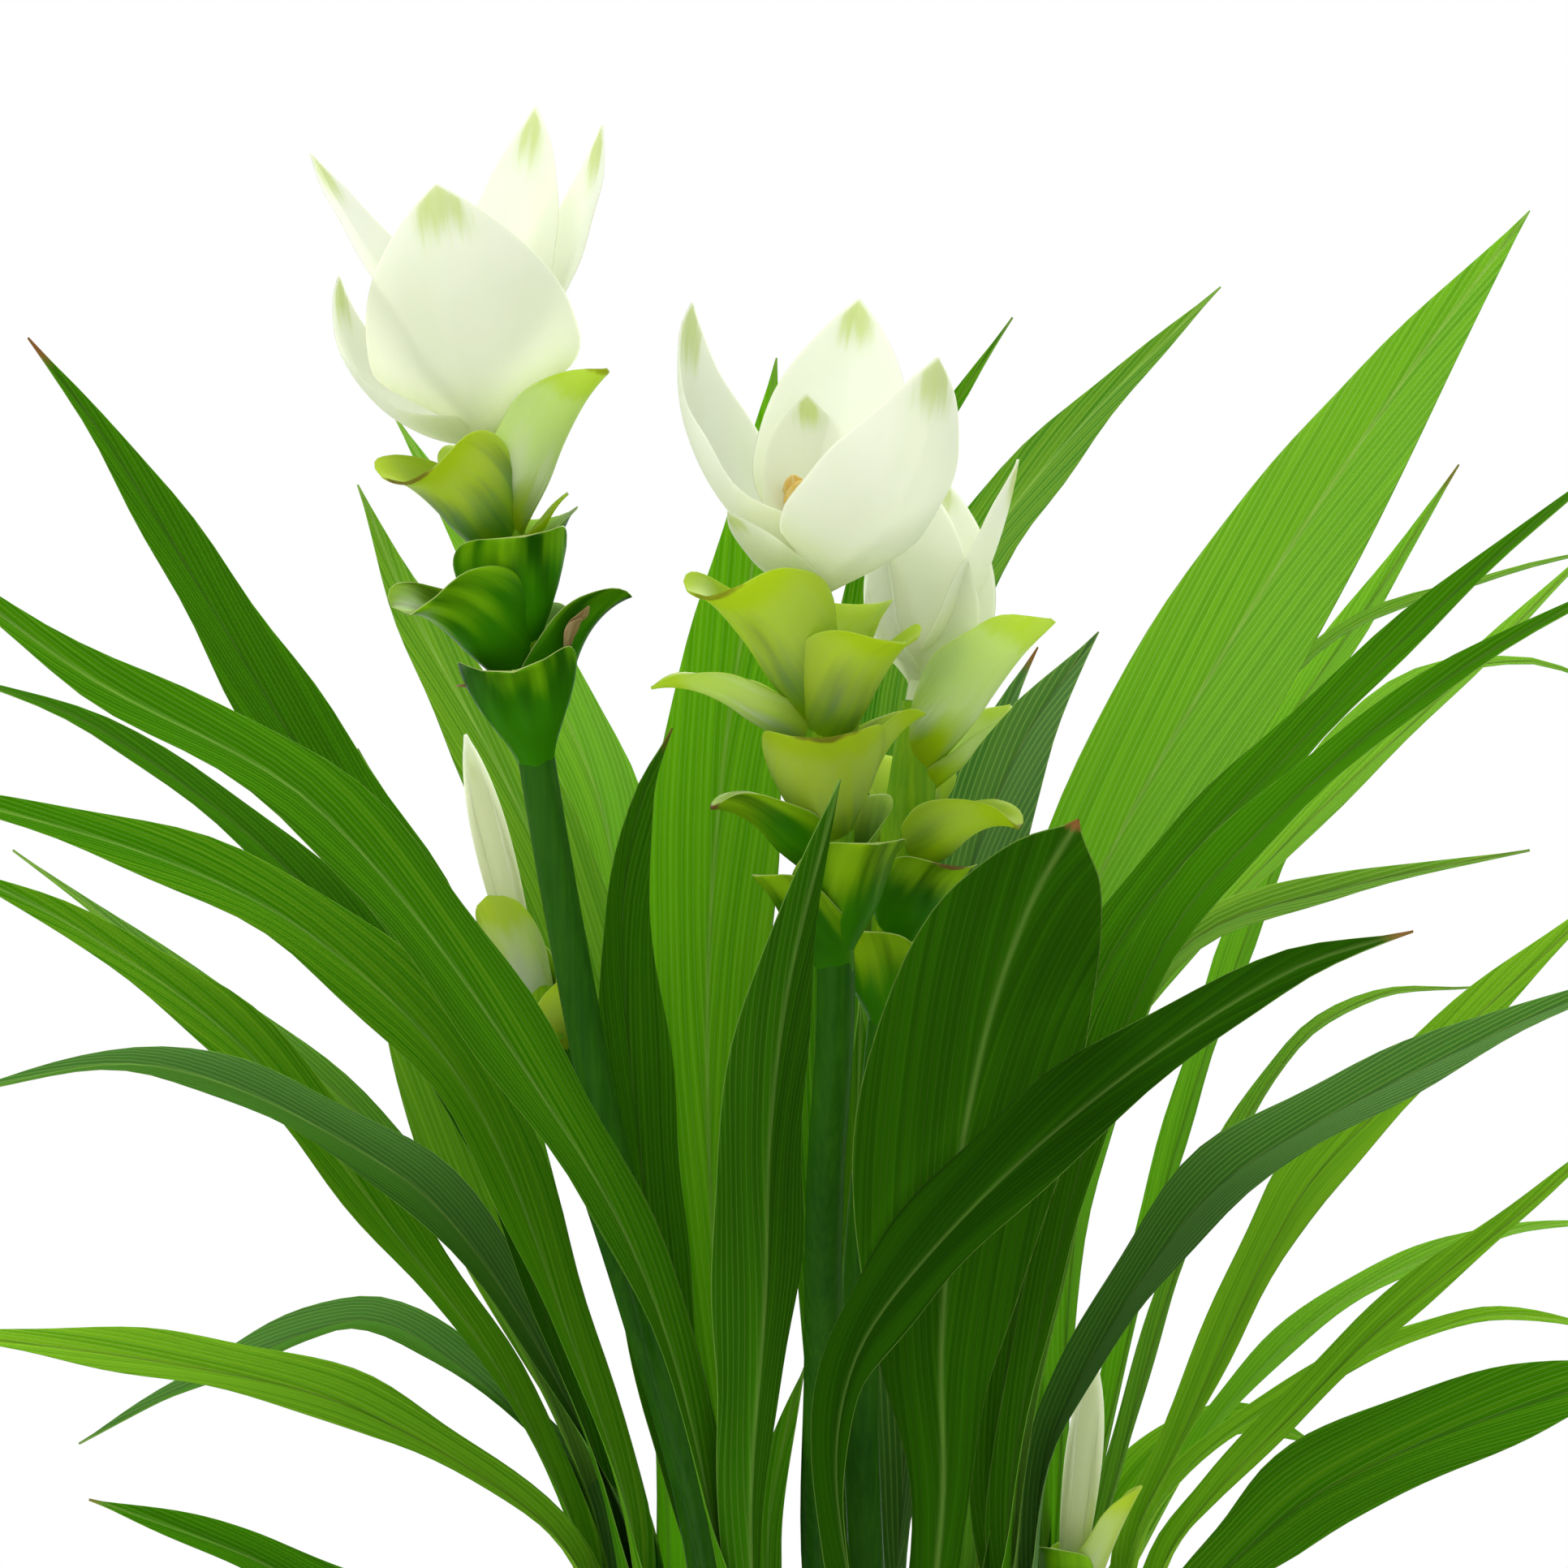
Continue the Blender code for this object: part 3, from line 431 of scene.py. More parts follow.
def endPaint(m, surface):
    output = m.tree.nodes.new("ShaderNodeOutputMaterial")
    m.tree.links.new(surface.socket, output.inputs["Surface"])


def skin(m, colour, rough, height, look):
    # The look names how strong and how many metres deep its bump is, and how much it shines
    strength, depth = look["bump"]
    bump = m.node("ShaderNodeBump", None, {
        "Strength": strength, "Distance": depth, "Height": height,
    }, "Normal")
    return m.node("ShaderNodeBsdfPrincipled", None, {
        "Base Color": colour, "Roughness": rough, "Normal": bump, "Specular IOR Level": look["shine"],
    })


def thinSkin(m, colour, rough, height, look, through):
    # A leaf's skin, and the light that comes through it from behind
    back = m.node("ShaderNodeBsdfTranslucent", None, {"Color": shade(look["glow"])})
    front = skin(m, colour, rough, height, look)
    endPaint(m, m.node("ShaderNodeMixShader", None, {0: through, 1: front, 2: back}))


leafPaint = {
    "deep": (0.006, 0.034, 0.0010),
    "middle": (0.046, 0.205, 0.001),
    "fresh": (0.270, 0.480, 0.020),
    # This grey paints a sheen on one half of a leaf, and greys its underside
    "grey": (0.100, 0.205, 0.075),
    "pale": (0.380, 0.600, 0.120),
    "purple": (0.050, 0.045, 0.025),
    "dry": (0.240, 0.110, 0.030),
    "glow": (0.42, 0.86, 0.03),
    "veinSpacing": 0.0012,
    "veinSlant": 0.07,
    "veinSharpness": 6,
    "veinPale": (0.6, 0.3, 0.01),     # by the tone squared, by the grey, and on every leaf
    "midribWidth": 0.0005,
    "midribPale": (0.12, 0.38),       # on every leaf, and by the tone
    "purplePhases": (0.45, 0.55),     # light leaves with a higher phase have a purple midrib
    "purpleTones": (0.2, 0.4),
    "rimWidth": 0.00025,
    "rimPale": 0.4,
    "streaks": (720, 6, 40),
    "bands": (0.36, 0.64),            # levels of the streaks
    "bandShare": 0.5,
    "patches": (70, 5, 70),
    "patchShare": 0.6,
    "sheenFold": (-0.0004, 0.0004),
    "sheen": (0.55, 0.4, 0.2),        # painted sheen: grey on the half that looks green, what the half that turns its sheen to the eye adds, and on the underside
    "dryTip": (0.972, 0.99),
    "rough": 0.42,
    "bump": (1.0, 0.00006),
    "shine": 0.0,
}


def makeLeafPaint():
    look = leafPaint
    material, m = newPaint("leafBlade")
    across, along = bladeChart(m)
    away = across.math("ABSOLUTE")
    tone, grey, through, phase = traits(m, "tone", "grey", "through", "phase")
    share, dry, under, rimAway = traits(m, "share", "dry", "under", "rim")

    # Streaks run with the veins, which leave the midrib at a slant
    course = away - along * look["veinSlant"]
    streak = drawnOut(m, course, along, look["streaks"], 3.0, 0.6)
    patch = drawnOut(m, across, along, look["patches"])
    wave = (course / look["veinSpacing"] * fullTurn).math("SINE")
    vein = (wave * 0.5 + 0.5) ** look["veinSharpness"]

    band = streak.rise(*look["bands"])
    uneven = (band - 0.5) * look["bandShare"] + (patch - 0.5) * look["patchShare"]
    level = tone + uneven * (tone * 0.45 + 0.1)
    colour = m.mix((level * 2).clamped(), look["deep"], look["middle"])
    colour = m.mix((level * 2 - 1).clamped(), colour, look["fresh"])
    # Painted sheen: one half of a leaf turns its sheen to the eye, painted here as a greyer colour, and
    # the underside is greyer too
    turned = across.rise(*look["sheenFold"])
    green, greyer, below = look["sheen"]
    sheenAndUnderside = grey * (green + turned * greyer) + under * grey * below + (patch - 0.5) * grey
    colour = m.mix(sheenAndUnderside.clamped(), colour, look["grey"])
    byTone, byGrey, always = look["veinPale"]
    colour = m.mix(vein * (tone * tone * byTone + grey * byGrey + always), colour, look["pale"])
    rib = away.bell(look["midribWidth"])
    purple = phase.rise(*look["purplePhases"]) * tone.rise(*look["purpleTones"])
    always, byTone = look["midribPale"]
    colour = m.mix(rib * (always + tone * byTone), colour, m.mix(purple, look["pale"], look["purple"]))
    rim = 1 - rimAway.rise(0.0, look["rimWidth"])
    colour = m.mix(rim * look["rimPale"], colour, look["pale"])
    tip = (share + (streak - 0.5) * 0.03).rise(*look["dryTip"]) * dry
    colour = m.mix(tip, colour, look["dry"])

    rough = look["rough"] + under * 0.12 - grey * 0.04 + (streak - 0.5) * 0.12
    height = vein * 0.5 + streak * 0.5
    lit = through * (1 - rib * 0.5) * (1 - tip * 0.6) * (0.75 + streak * 0.5)
    thinSkin(m, colour, rough, height, look, lit)
    return material


bractPaint = {
    "green": (0.040, 0.230, 0.001),
    "deep": (0.012, 0.085, 0.0005),
    "grass": (0.260, 0.560, 0.006),
    "lime": (0.660, 0.800, 0.014),
    "inner": (0.620, 0.770, 0.070),
    "cream": (0.860, 0.910, 0.640),
    "rim": (0.660, 0.780, 0.260),
    "dry": (0.200, 0.100, 0.030),
    "glow": (0.70, 0.86, 0.05),
    "rimWidth": 0.0004,
    "rimShare": 0.8,
    "streaks": (330, 22, 40),
    "clouds": (150, 32, 70),
    "darkness": (0.60, 1.1),          # of a bract of tone 0, and how much less with its tone
    "cloudShare": 1.8,
    "streakShare": 0.8,
    "middleShare": 0.62,
    "middleFades": (0.3, 0.92),       # shares of the length, as are the next ones
    "footFades": (0.05, 0.75),
    "footShare": 0.85,
    "innerGrows": (0.3, 0.85),
    "creamGrows": (0.15, 0.5),
    "creamEnds": (0.72, 0.86),
    "dryTip": (0.95, 0.98),
    "middleRim": (0.0004, 0.006),     # metres from the rim
    "creamLines": (0.38, 0.58),       # levels of the streaks
    "deepClouds": (0.35, 0.75),       # levels of the clouds
    "rough": 0.36,
    "bump": (1.0, 0.00006),
    "shine": 0.05,
}


def makeBractPaint():
    look = bractPaint
    material, m = newPaint("greenBract")
    across, along = bladeChart(m)
    tone, cream, through = traits(m, "tone", "grey", "through")
    share, dry, under, rimAway = traits(m, "share", "dry", "under", "rim")
    streak = drawnOut(m, across, along, look["streaks"], 3.0, 0.6)
    cloud = drawnOut(m, across, along, look["clouds"])

    # Green lies over lime in soft clouds drawn out along the bract, deepest toward its foot
    middle = (1 - share.rise(*look["middleFades"])) * rimAway.rise(*look["middleRim"])
    darkest, less = look["darkness"]
    clouded = (cloud - 0.5) * look["cloudShare"]
    streaked = (streak - 0.5) * look["streakShare"]
    dark = (darkest - tone * less + clouded + streaked + middle * look["middleShare"]).rise(0.0, 0.9)
    light = m.mix(tone.rise(0.1, 0.7), look["grass"], look["lime"])
    colour = m.mix(dark, light, m.mix(cloud.rise(*look["deepClouds"]), look["green"], look["deep"]))
    foot = 1 - share.rise(*look["footFades"])
    colour = m.mix(foot * (1.3 - tone) * look["footShare"], colour, look["green"])
    inner = (1 - under) * (0.2 + tone * 0.5) * share.rise(*look["innerGrows"])
    colour = m.mix(inner.clamped(), colour, look["inner"])
    # Cream comes in lines over the bract's middle, ragged where it starts and ends
    starts = (share + (cloud - 0.5) * 0.5).rise(*look["creamGrows"])
    ends = 1 - (share + (streak - 0.5) * 0.3).rise(*look["creamEnds"]) * 0.8
    creamShare = (cream * starts * ends * (0.6 + streak.rise(*look["creamLines"]) * 0.4)).clamped()
    colour = m.mix(creamShare, colour, look["cream"])
    rim = 1 - rimAway.rise(0.0, look["rimWidth"])
    colour = m.mix(rim * look["rimShare"], colour, look["rim"])
    tip = (share + (streak - 0.5) * 0.06).rise(*look["dryTip"]) * dry
    colour = m.mix(tip, colour, look["dry"])
    height = streak * 0.6 + cloud * 0.4
    lit = through * (1 - dark * 0.7) + creamShare * 0.1 + rim * 0.15
    thinSkin(m, colour, look["rough"] + (streak - 0.5) * 0.12, height, look, lit)
    return material


petalPaint = {
    "white": (0.930, 0.940, 0.860),
    "shade": (0.860, 0.900, 0.720),
    "foot": (0.640, 0.760, 0.140),
    "tip": (0.560, 0.690, 0.080),
    "cream": (0.900, 0.900, 0.600),
    "glow": (0.97, 0.98, 0.88),
    "streaks": (420, 20, 40),
    "patches": (80, 50, 70),
    "shadePatches": (0.3, 0.75),
    "footFades": (0.02, 0.34),
    "footShare": 0.38,
    "tipStreaks": (700, 45, 50),
    "tipGrows": (0.76, 0.90),
    "tipRagged": 0.24,
    "tipNarrows": 0.14,
    "tipRim": (0.0, 0.0012),
    "litRim": (0.0, 0.0009),
    "rough": 0.55,
    "bump": (1.0, 0.00004),
    "shine": 0.2,
}


def makePetalPaint():
    look = petalPaint
    material, m = newPaint("whiteBract")
    across, along = bladeChart(m)
    tone, cream, through = traits(m, "tone", "grey", "through")
    share, rimAway, half = traits(m, "share", "rim", "half")
    streak = drawnOut(m, across, along, look["streaks"], 3.0, 0.6)
    patch = drawnOut(m, across, along, look["patches"])
    shaded = patch.rise(*look["shadePatches"]) * 0.6 + streak * 0.2
    colour = m.mix(shaded, look["white"], look["shade"])
    foot = 1 - (share + (streak - 0.5) * 0.12).rise(*look["footFades"])
    colour = m.mix(foot * look["footShare"], colour, look["foot"])
    colour = m.mix(cream, colour, look["cream"])
    # The green tip is a soft patch round the midrib that runs down in streaks
    ragged = drawnOut(m, across, along, look["tipStreaks"], 3.0, 0.6)
    beside = (across.math("ABSOLUTE") / half).rise(0.3, 1.0)
    reach = share + (ragged - 0.5) * look["tipRagged"] - beside * look["tipNarrows"]
    tip = reach.rise(*look["tipGrows"]) * tone * rimAway.rise(*look["tipRim"])
    colour = m.mix(tip * (0.5 + streak * 0.5), colour, look["tip"])
    height = streak * 0.7 + patch * 0.3
    edge = 1 - rimAway.rise(*look["litRim"])
    lit = through * (0.9 + streak * 0.2) * (1 - tip * 0.3) + edge * 0.25
    thinSkin(m, colour, look["rough"] + (streak - 0.5) * 0.1, height, look, lit)
    return material


# Each stem's dark and light green
stemGreens = {
    "leafy": ((0.10, 0.26, 0.02), (0.25, 0.42, 0.07)),
    "flower": ((0.010, 0.085, 0.0015), (0.040, 0.170, 0.004)),
    "spike": ((0.060, 0.260, 0.001), (0.300, 0.500, 0.010)),
}
stemPaint = {
    "streaks": (900, 900, 26),
    "streakShare": 1.3,
    "blotches": 60.0,
    "blotchShare": 0.9,
    "rough": 0.36,
    "bump": (0.6, 0.00012),
    "shine": 0.1,
}


def makeStemPaint(name, dark, light):
    look = stemPaint
    material, m = newPaint(name)
    spot = objectPlace(m)
    long = m.node("ShaderNodeMapping", None, {"Vector": spot, "Scale": look["streaks"]})
    streak = noiseAt(m, long, 1.0, 3.0, 0.6)
    blotch = noiseAt(m, spot, look["blotches"])
    share = (streak - 0.5) * look["streakShare"] + (blotch - 0.5) * look["blotchShare"] + 0.5
    colour = m.mix(share.clamped(), dark, light)
    endPaint(m, skin(m, colour, look["rough"] + streak * 0.15, streak, look))
    return material


# A shoot's foot is on the soil, and its neck is where the leaves part, both in the plan's centimetres.
# Leaves are (look, width, turns, route), in centimetres. A route runs from the shoot to the tip, and
# each point is across, up and toward the eye, as it looks from the camera. A turn of 0 shows the upper
# face to the eye, 90 the edge and 180 the underside, at the stalk, half way and at the tip
shoots = {
    "leafy_shoot_1": {
        "foot": (-3.9, -0.2),
        "neck": (-4.9, -0.3, 17.4),
        "leaves": [
            ("bright", 2.2, (70, 57, 50), [
                (-5.5, 19.6, 0.4), (-7.1, 23.2, 0.2), (-9.1, 25.9, 0), (-12.3, 29.8, 0),
                (-15.5, 32.1, 0), (-18.3, 33.5, 0)
            ]),
            ("silver", 1.3, (70, 64, 60), [
                (-5.2, 20.0, -0.6), (-6.3, 23.0, -1.2), (-8.7, 27.0, -1.6), (-10.8, 29.2, -1.6),
                (-14.8, 32.2, -1.6), (-16.8, 33.7, -1.6)
            ]),
            ("lit", 2.4, (70, 62, 66), [
                (-5.6, 19.4, 1.2), (-6.8, 20.8, 1.6), (-9.9, 22.6, 2), (-12.3, 23.3, 2),
                (-17.1, 24.0, 2), (-19.0, 24.0, 2)
            ]),
            ("glossy", 1.8, (70, 62, 70), [
                (-5.3, 20.2, -0.5), (-6.0, 21.7, -1.0), (-8.7, 24.0, -2.8), (-10.2, 24.4, -3.8),
                (-13.4, 23.1, -5.6), (-15.5, 22.0, -6.6)
            ]),
            ("middle", 2.0, (75, 60, 60), [
                (-5.9, 18.0, 0.6), (-7.4, 18.5, 0.8), (-9.9, 18.7, 0.8), (-12.3, 19.8, 0.6),
                (-15.3, 20.9, 0.5)
            ]),
        ],
    },
    "leafy_shoot_2": {
        "foot": (-3.5, -2.0),
        "neck": (-4.3, -2.6, 17.6),
        "leaves": [
            ("deep", 1.9, (70, 60, 60), [
                (-5.0, 20.6, 3.4), (-6.2, 24.1, 4.0), (-8.1, 29.0, 4.6), (-11.0, 32.9, 5),
                (-15.0, 36.0, 5), (-18.0, 37.2, 5)
            ]),
            ("glossy", 2.4, (80, 60, 72), [
                (-4.6, 20.0, 3.2), (-5.4, 21.9, 3.4), (-7.5, 25.5, 3.2), (-9.4, 27.4, 3.2),
                (-13.9, 29.4, 3.4), (-18.0, 28.9, 3.6)
            ]),
            ("bright", 2.6, (70, 56, 58), [
                (-4.6, 20.2, 4.2), (-5.8, 24.0, 5.4), (-7.9, 29.0, 6.4), (-10.8, 31.9, 6.8),
                (-13.9, 33.5, 7), (-19.5, 35.1, 7)
            ]),
        ],
    },
    "leafy_shoot_3": {
        "foot": (-3.2, 1.8),
        "neck": (-4.1, 1.9, 17.6),
        "leaves": [
            ("middle", 2.8, (60, 50, 50), [
                (-4.5, 20.0, -1.6), (-6.7, 26.5, -1.2), (-8.4, 31.3, -1.1), (-11.5, 36.2, -1),
                (-14.8, 41.5, -1), (-16.5, 43.8, -1)
            ]),
            ("pale", 2.8, (30, 12, 20), [
                (-4.7, 20.4, -2.6), (-6.8, 25.5, -3.2), (-8.4, 30.4, -3.8), (-9.1, 32.9, -4.1),
                (-10.0, 35.7, -4.5)
            ]),
            ("fresh", 2.2, (50, 40, 40), [
                (-3.9, 20.6, -3.0), (-4.2, 25.6, -4.4), (-4.6, 30.5, -6.0), (-5.4, 35.1, -8.0),
                (-8.1, 40.2, -10.4), (-9.3, 42.3, -11.4)
            ]),
            ("middle", 1.0, (60, 40, 40), [
                (-4.6, 19.6, -2.2), (-5.3, 21.4, -2.4), (-6.4, 24.9, -2.4), (-7.4, 27.3, -2.2)
            ]),
        ],
    },
    "leafy_shoot_4": {
        "foot": (-1.2, 0.6),
        "neck": (-2.2, 0.5, 17.8),
        "leaves": [
            ("striped", 3.0, (20, 18, 25), [
                (-2.6, 20.4, -0.8), (-3.0, 26.0, -1.3), (-3.1, 31.0, -1.9), (-2.8, 35.3, -2.3),
                (-2.2, 39.4, -2.6), (-1.75, 43.4, -3)
            ]),
            ("middle", 2.2, (50, 48, 50), [
                (-3.3, 20.4, -0.5), (-3.9, 23.8, -0.5), (-4.5, 28.1, -0.4), (-4.8, 32.4, -0.5),
                (-4.4, 34.8, -0.6), (-3.8, 36.1, -0.8)
            ]),
            ("pale", 2.6, (50, 38, 40), [
                (-3.4, 20.6, -1.4), (-4.4, 26.0, -2.4), (-5.0, 29.4, -3.2), (-6.6, 34.0, -4.4),
                (-9.1, 38.7, -7), (-10.0, 40.9, -8)
            ]),
            ("middle", 0.9, (60, 40, 40), [
                (-3.4, 20.0, -0.1), (-4.2, 23.0, 0.1), (-5.0, 27.1, 0.3), (-5.8, 29.6, 0.3)
            ]),
            ("middle", 2.4, (20, 10, 20), [
                (-2.3, 20.4, -2.2), (-2.5, 25.0, -6), (-2.7, 28.6, -10), (-2.8, 29.6, -14.5)
            ]),
        ],
    },
    "leafy_shoot_5": {
        "foot": (-1.4, -3.0),
        "neck": (-2.2, -3.5, 17.6),
        "leaves": [
            ("middle", 2.5, (60, 54, 56), [
                (-2.9, 19.9, 4.9), (-4.1, 24.6, 7), (-5.9, 28.1, 8.2), (-10.7, 34.4, 9.4),
                (-15.5, 37.2, 9.6), (-19.5, 40.2, 9.6)
            ]),
            ("deep", 2.4, (140, 135, 130), [
                (-2.3, 20.4, 5.2), (-2.0, 24.9, 6.8), (-1.9, 28.1, 7.6), (-1.5, 31.2, 8.2),
                (-0.5, 35.1, 8.6)
            ]),
            ("middle", 1.1, (60, 50, 50), [
                (-1.9, 20.0, 3.4), (-1.7, 21.5, 3.2), (-1.2, 23.5, 2.9)
            ]),
        ],
    },
    "leafy_shoot_6": {
        "foot": (0.2, 2.8),
        "neck": (0.2, 3.1, 17.6),
        "leaves": [
            ("middle", 2.0, (50, 50, 55), [
                (-0.5, 21.0, -4.6), (-1.0, 28.0, -5.9), (-0.5, 35.0, -7.2), (0.6, 40.5, -8.4),
                (2.0, 42.8, -8.8), (2.9, 44.2, -9)
            ]),
            ("ribbed", 2.6, (40, 42, 48), [
                (0.4, 21.0, -3.9), (0.3, 29.0, -4.2), (0.7, 35.0, -4.8), (1.4, 38.1, -5.8),
                (3.7, 41.4, -8), (7.0, 44.8, -10)
            ]),
            ("grey", 3.0, (40, 25, 20), [
                (0.7, 20.4, -2.6), (0.9, 25.0, -1.8), (1.4, 29.5, -1.2), (2.0, 33.0, -1.1),
                (3.1, 35.8, -1.4), (4.6, 38.0, -2)
            ]),
            ("grey", 2.0, (50, 40, 35), [
                (0.8, 21.0, -3.4), (1.2, 29.0, -3.4), (2.0, 34.3, -3.6), (2.8, 36.5, -3.8),
                (3.4, 37.7, -4)
            ]),
            ("middle", 2.0, (60, 50, 50), [
                (-0.3, 20.2, -2.2), (-0.5, 24.4, -1.4), (-0.2, 28.1, -1.0), (-0.1, 30.8, -0.9)
            ]),
            ("middle", 2.6, (20, 10, 20), [
                (0.3, 20.6, -4.6), (0.7, 25.0, -8), (1.0, 27.8, -12), (1.2, 28.2, -16)
            ]),
        ],
    },
    "leafy_shoot_7": {
        "foot": (0.7, -3.2),
        "neck": (0.6, -4.1, 17.6),
        "leaves": [
            ("shaded", 3.9, (170, 172, 165), [
                (1.5, 20.6, 6.0), (1.5, 24.0, 8.0), (1.8, 27.2, 9.8), (2.4, 30.2, 11.4),
                (3.2, 32.5, 13.6), (4.2, 34.3, 17.6)
            ]),
            ("shaded", 2.5, (70, 55, 48), [
                (-0.5, 20.6, 6.2), (-0.3, 23.3, 8.2), (1.0, 25.4, 10.4), (4.2, 28.5, 12.8),
                (8.2, 31.2, 13), (10.8, 32.1, 12.4)
            ]),
        ],
    },
    "leafy_shoot_8": {
        "foot": (2.1, 1.0),
        "neck": (2.3, 1.2, 17.8),
        "leaves": [
            ("fresh", 3.3, (20, 5, 8), [
                (1.9, 21.5, -1.4), (2.6, 26.5, -1.7), (4.1, 32.0, -2.4), (6.9, 37.3, -3.8),
                (10.5, 42.8, -6.5), (13.1, 46.3, -8)
            ]),
            ("fresh", 1.6, (60, 62, 62), [
                (2.9, 20.6, -0.9), (3.9, 25.5, -0.8), (5.0, 30.0, -0.6), (8.3, 33.8, -0.6),
                (11.9, 37.2, -0.8), (14.9, 40.2, -1)
            ]),
            ("silver", 1.4, (60, 72, 76), [
                (2.8, 20.4, -1.7), (4.4, 27.5, -3.2), (6.6, 34.0, -5.6), (8.9, 37.6, -6.6),
                (12.5, 39.1, -7.6), (14.8, 39.7, -8.4)
            ]),
            ("fresh", 1.5, (50, 42, 45), [
                (2.4, 19.8, -2.0), (2.9, 21.7, -2.7), (3.2, 24.1, -3.4), (3.5, 26.3, -4.0)
            ]),
        ],
    },
    "leafy_shoot_9": {
        "foot": (2.7, -2.1),
        "neck": (3.1, -2.5, 17.6),
        "leaves": [
            ("grey", 2.3, (70, 58, 60), [
                (3.4, 20.6, 3.2), (3.9, 22.6, 3.7), (6.1, 26.1, 4.5), (7.7, 27.6, 5), (12.5, 30.1, 5),
                (15.7, 31.4, 5)
            ]),
            # Painted shade: these two leaves face the sky and get a darker look
            ("shadedArch", 2.0, (60, 58, 62), [
                (2.5, 20.6, 4.0), (3.3, 26.0, 6.6), (4.7, 31.3, 8.4), (8.5, 35.7, 9), (11.7, 38.8, 9),
                (14.9, 41.5, 9)
            ]),
            ("shadedArch", 1.7, (60, 60, 60), [
                (2.8, 20.2, 4.8), (4.0, 26.5, 8.2), (5.9, 31.8, 10.2), (8.5, 34.7, 10.4),
                (11.7, 37.2, 10.2), (15.7, 39.4, 10)
            ]),
            ("silver", 1.6, (60, 58, 60), [
                (3.0, 20.8, 3.2), (4.1, 27.2, 4.9), (5.0, 30.1, 5.9), (6.6, 32.0, 6.6),
                (9.3, 32.9, 7.0), (13.1, 33.7, 7.2)
            ]),
            ("middle", 3.0, (70, 52, 55), [
                (5.2, 17.4, 4.0), (7.1, 19.5, 5.4), (9.3, 21.2, 6), (13.9, 23.0, 6), (16.5, 23.3, 6)
            ]),
        ],
    },
    "leafy_shoot_10": {
        "foot": (4.1, 0.1),
        "neck": (5.0, 0.0, 17.4),
        "leaves": [
            ("lit", 2.4, (70, 62, 60), [
                (5.3, 20.0, 0.4), (6.1, 21.8, 0.7), (8.5, 26.7, 1), (10.1, 28.5, 1), (13.9, 32.1, 1),
                (15.1, 33.2, 1)
            ]),
            ("lit", 1.5, (75, 62, 62), [
                (5.9, 19.6, 1.2), (6.9, 21.0, 1.9), (8.5, 22.6, 2.1), (10.1, 24.2, 2.1),
                (12.9, 26.5, 2), (14.9, 28.3, 2)
            ]),
            ("lit", 1.3, (75, 68, 70), [
                (5.4, 20.0, -0.5), (6.6, 21.7, -0.8), (9.3, 23.4, -0.9), (10.9, 24.1, -1),
                (12.5, 24.5, -1), (14.9, 24.2, -1)
            ]),
        ],
    },
    "leafy_shoot_11": {
        "foot": (3.3, 2.5),
        "neck": (3.8, 2.8, 17.6),
        "leaves": [
            ("fresh", 2.0, (50, 50, 50), [
                (3.8, 20.8, -4.4), (4.3, 27.0, -6.4), (6.2, 33.0, -8.6), (8.6, 36.6, -10.4),
                (10.2, 38.9, -11.4), (11.7, 41.3, -12)
            ]),
            ("lit", 2.0, (70, 56, 60), [
                (4.6, 19.8, -3.9), (5.7, 21.5, -5.0), (7.3, 22.4, -5.8), (8.9, 22.0, -6.4)
            ]),
            ("fresh", 1.8, (60, 66, 72), [
                (4.5, 21.0, -3.7), (6.2, 28.0, -5.2), (8.4, 34.0, -7.6), (10.3, 36.7, -9.2),
                (12.9, 37.4, -10), (14.8, 36.9, -10)
            ]),
            ("silver", 1.2, (60, 68, 70), [
                (4.8, 20.8, -2.8), (6.5, 26.3, -3.2), (8.5, 29.8, -3.6), (10.1, 30.8, -3.8),
                (12.0, 31.0, -4)
            ]),
            ("fresh", 1.3, (70, 62, 66), [
                (5.2, 19.5, -2.9), (6.9, 22.4, -3.4), (9.3, 24.7, -4.8), (12.5, 26.1, -7),
                (14.8, 26.4, -8)
            ]),
            ("middle", 2.4, (20, 10, 20), [
                (3.3, 20.6, -4.9), (3.3, 25.0, -8.8), (3.2, 28.2, -12.4), (3.1, 29.0, -16)
            ]),
        ],
    },
}

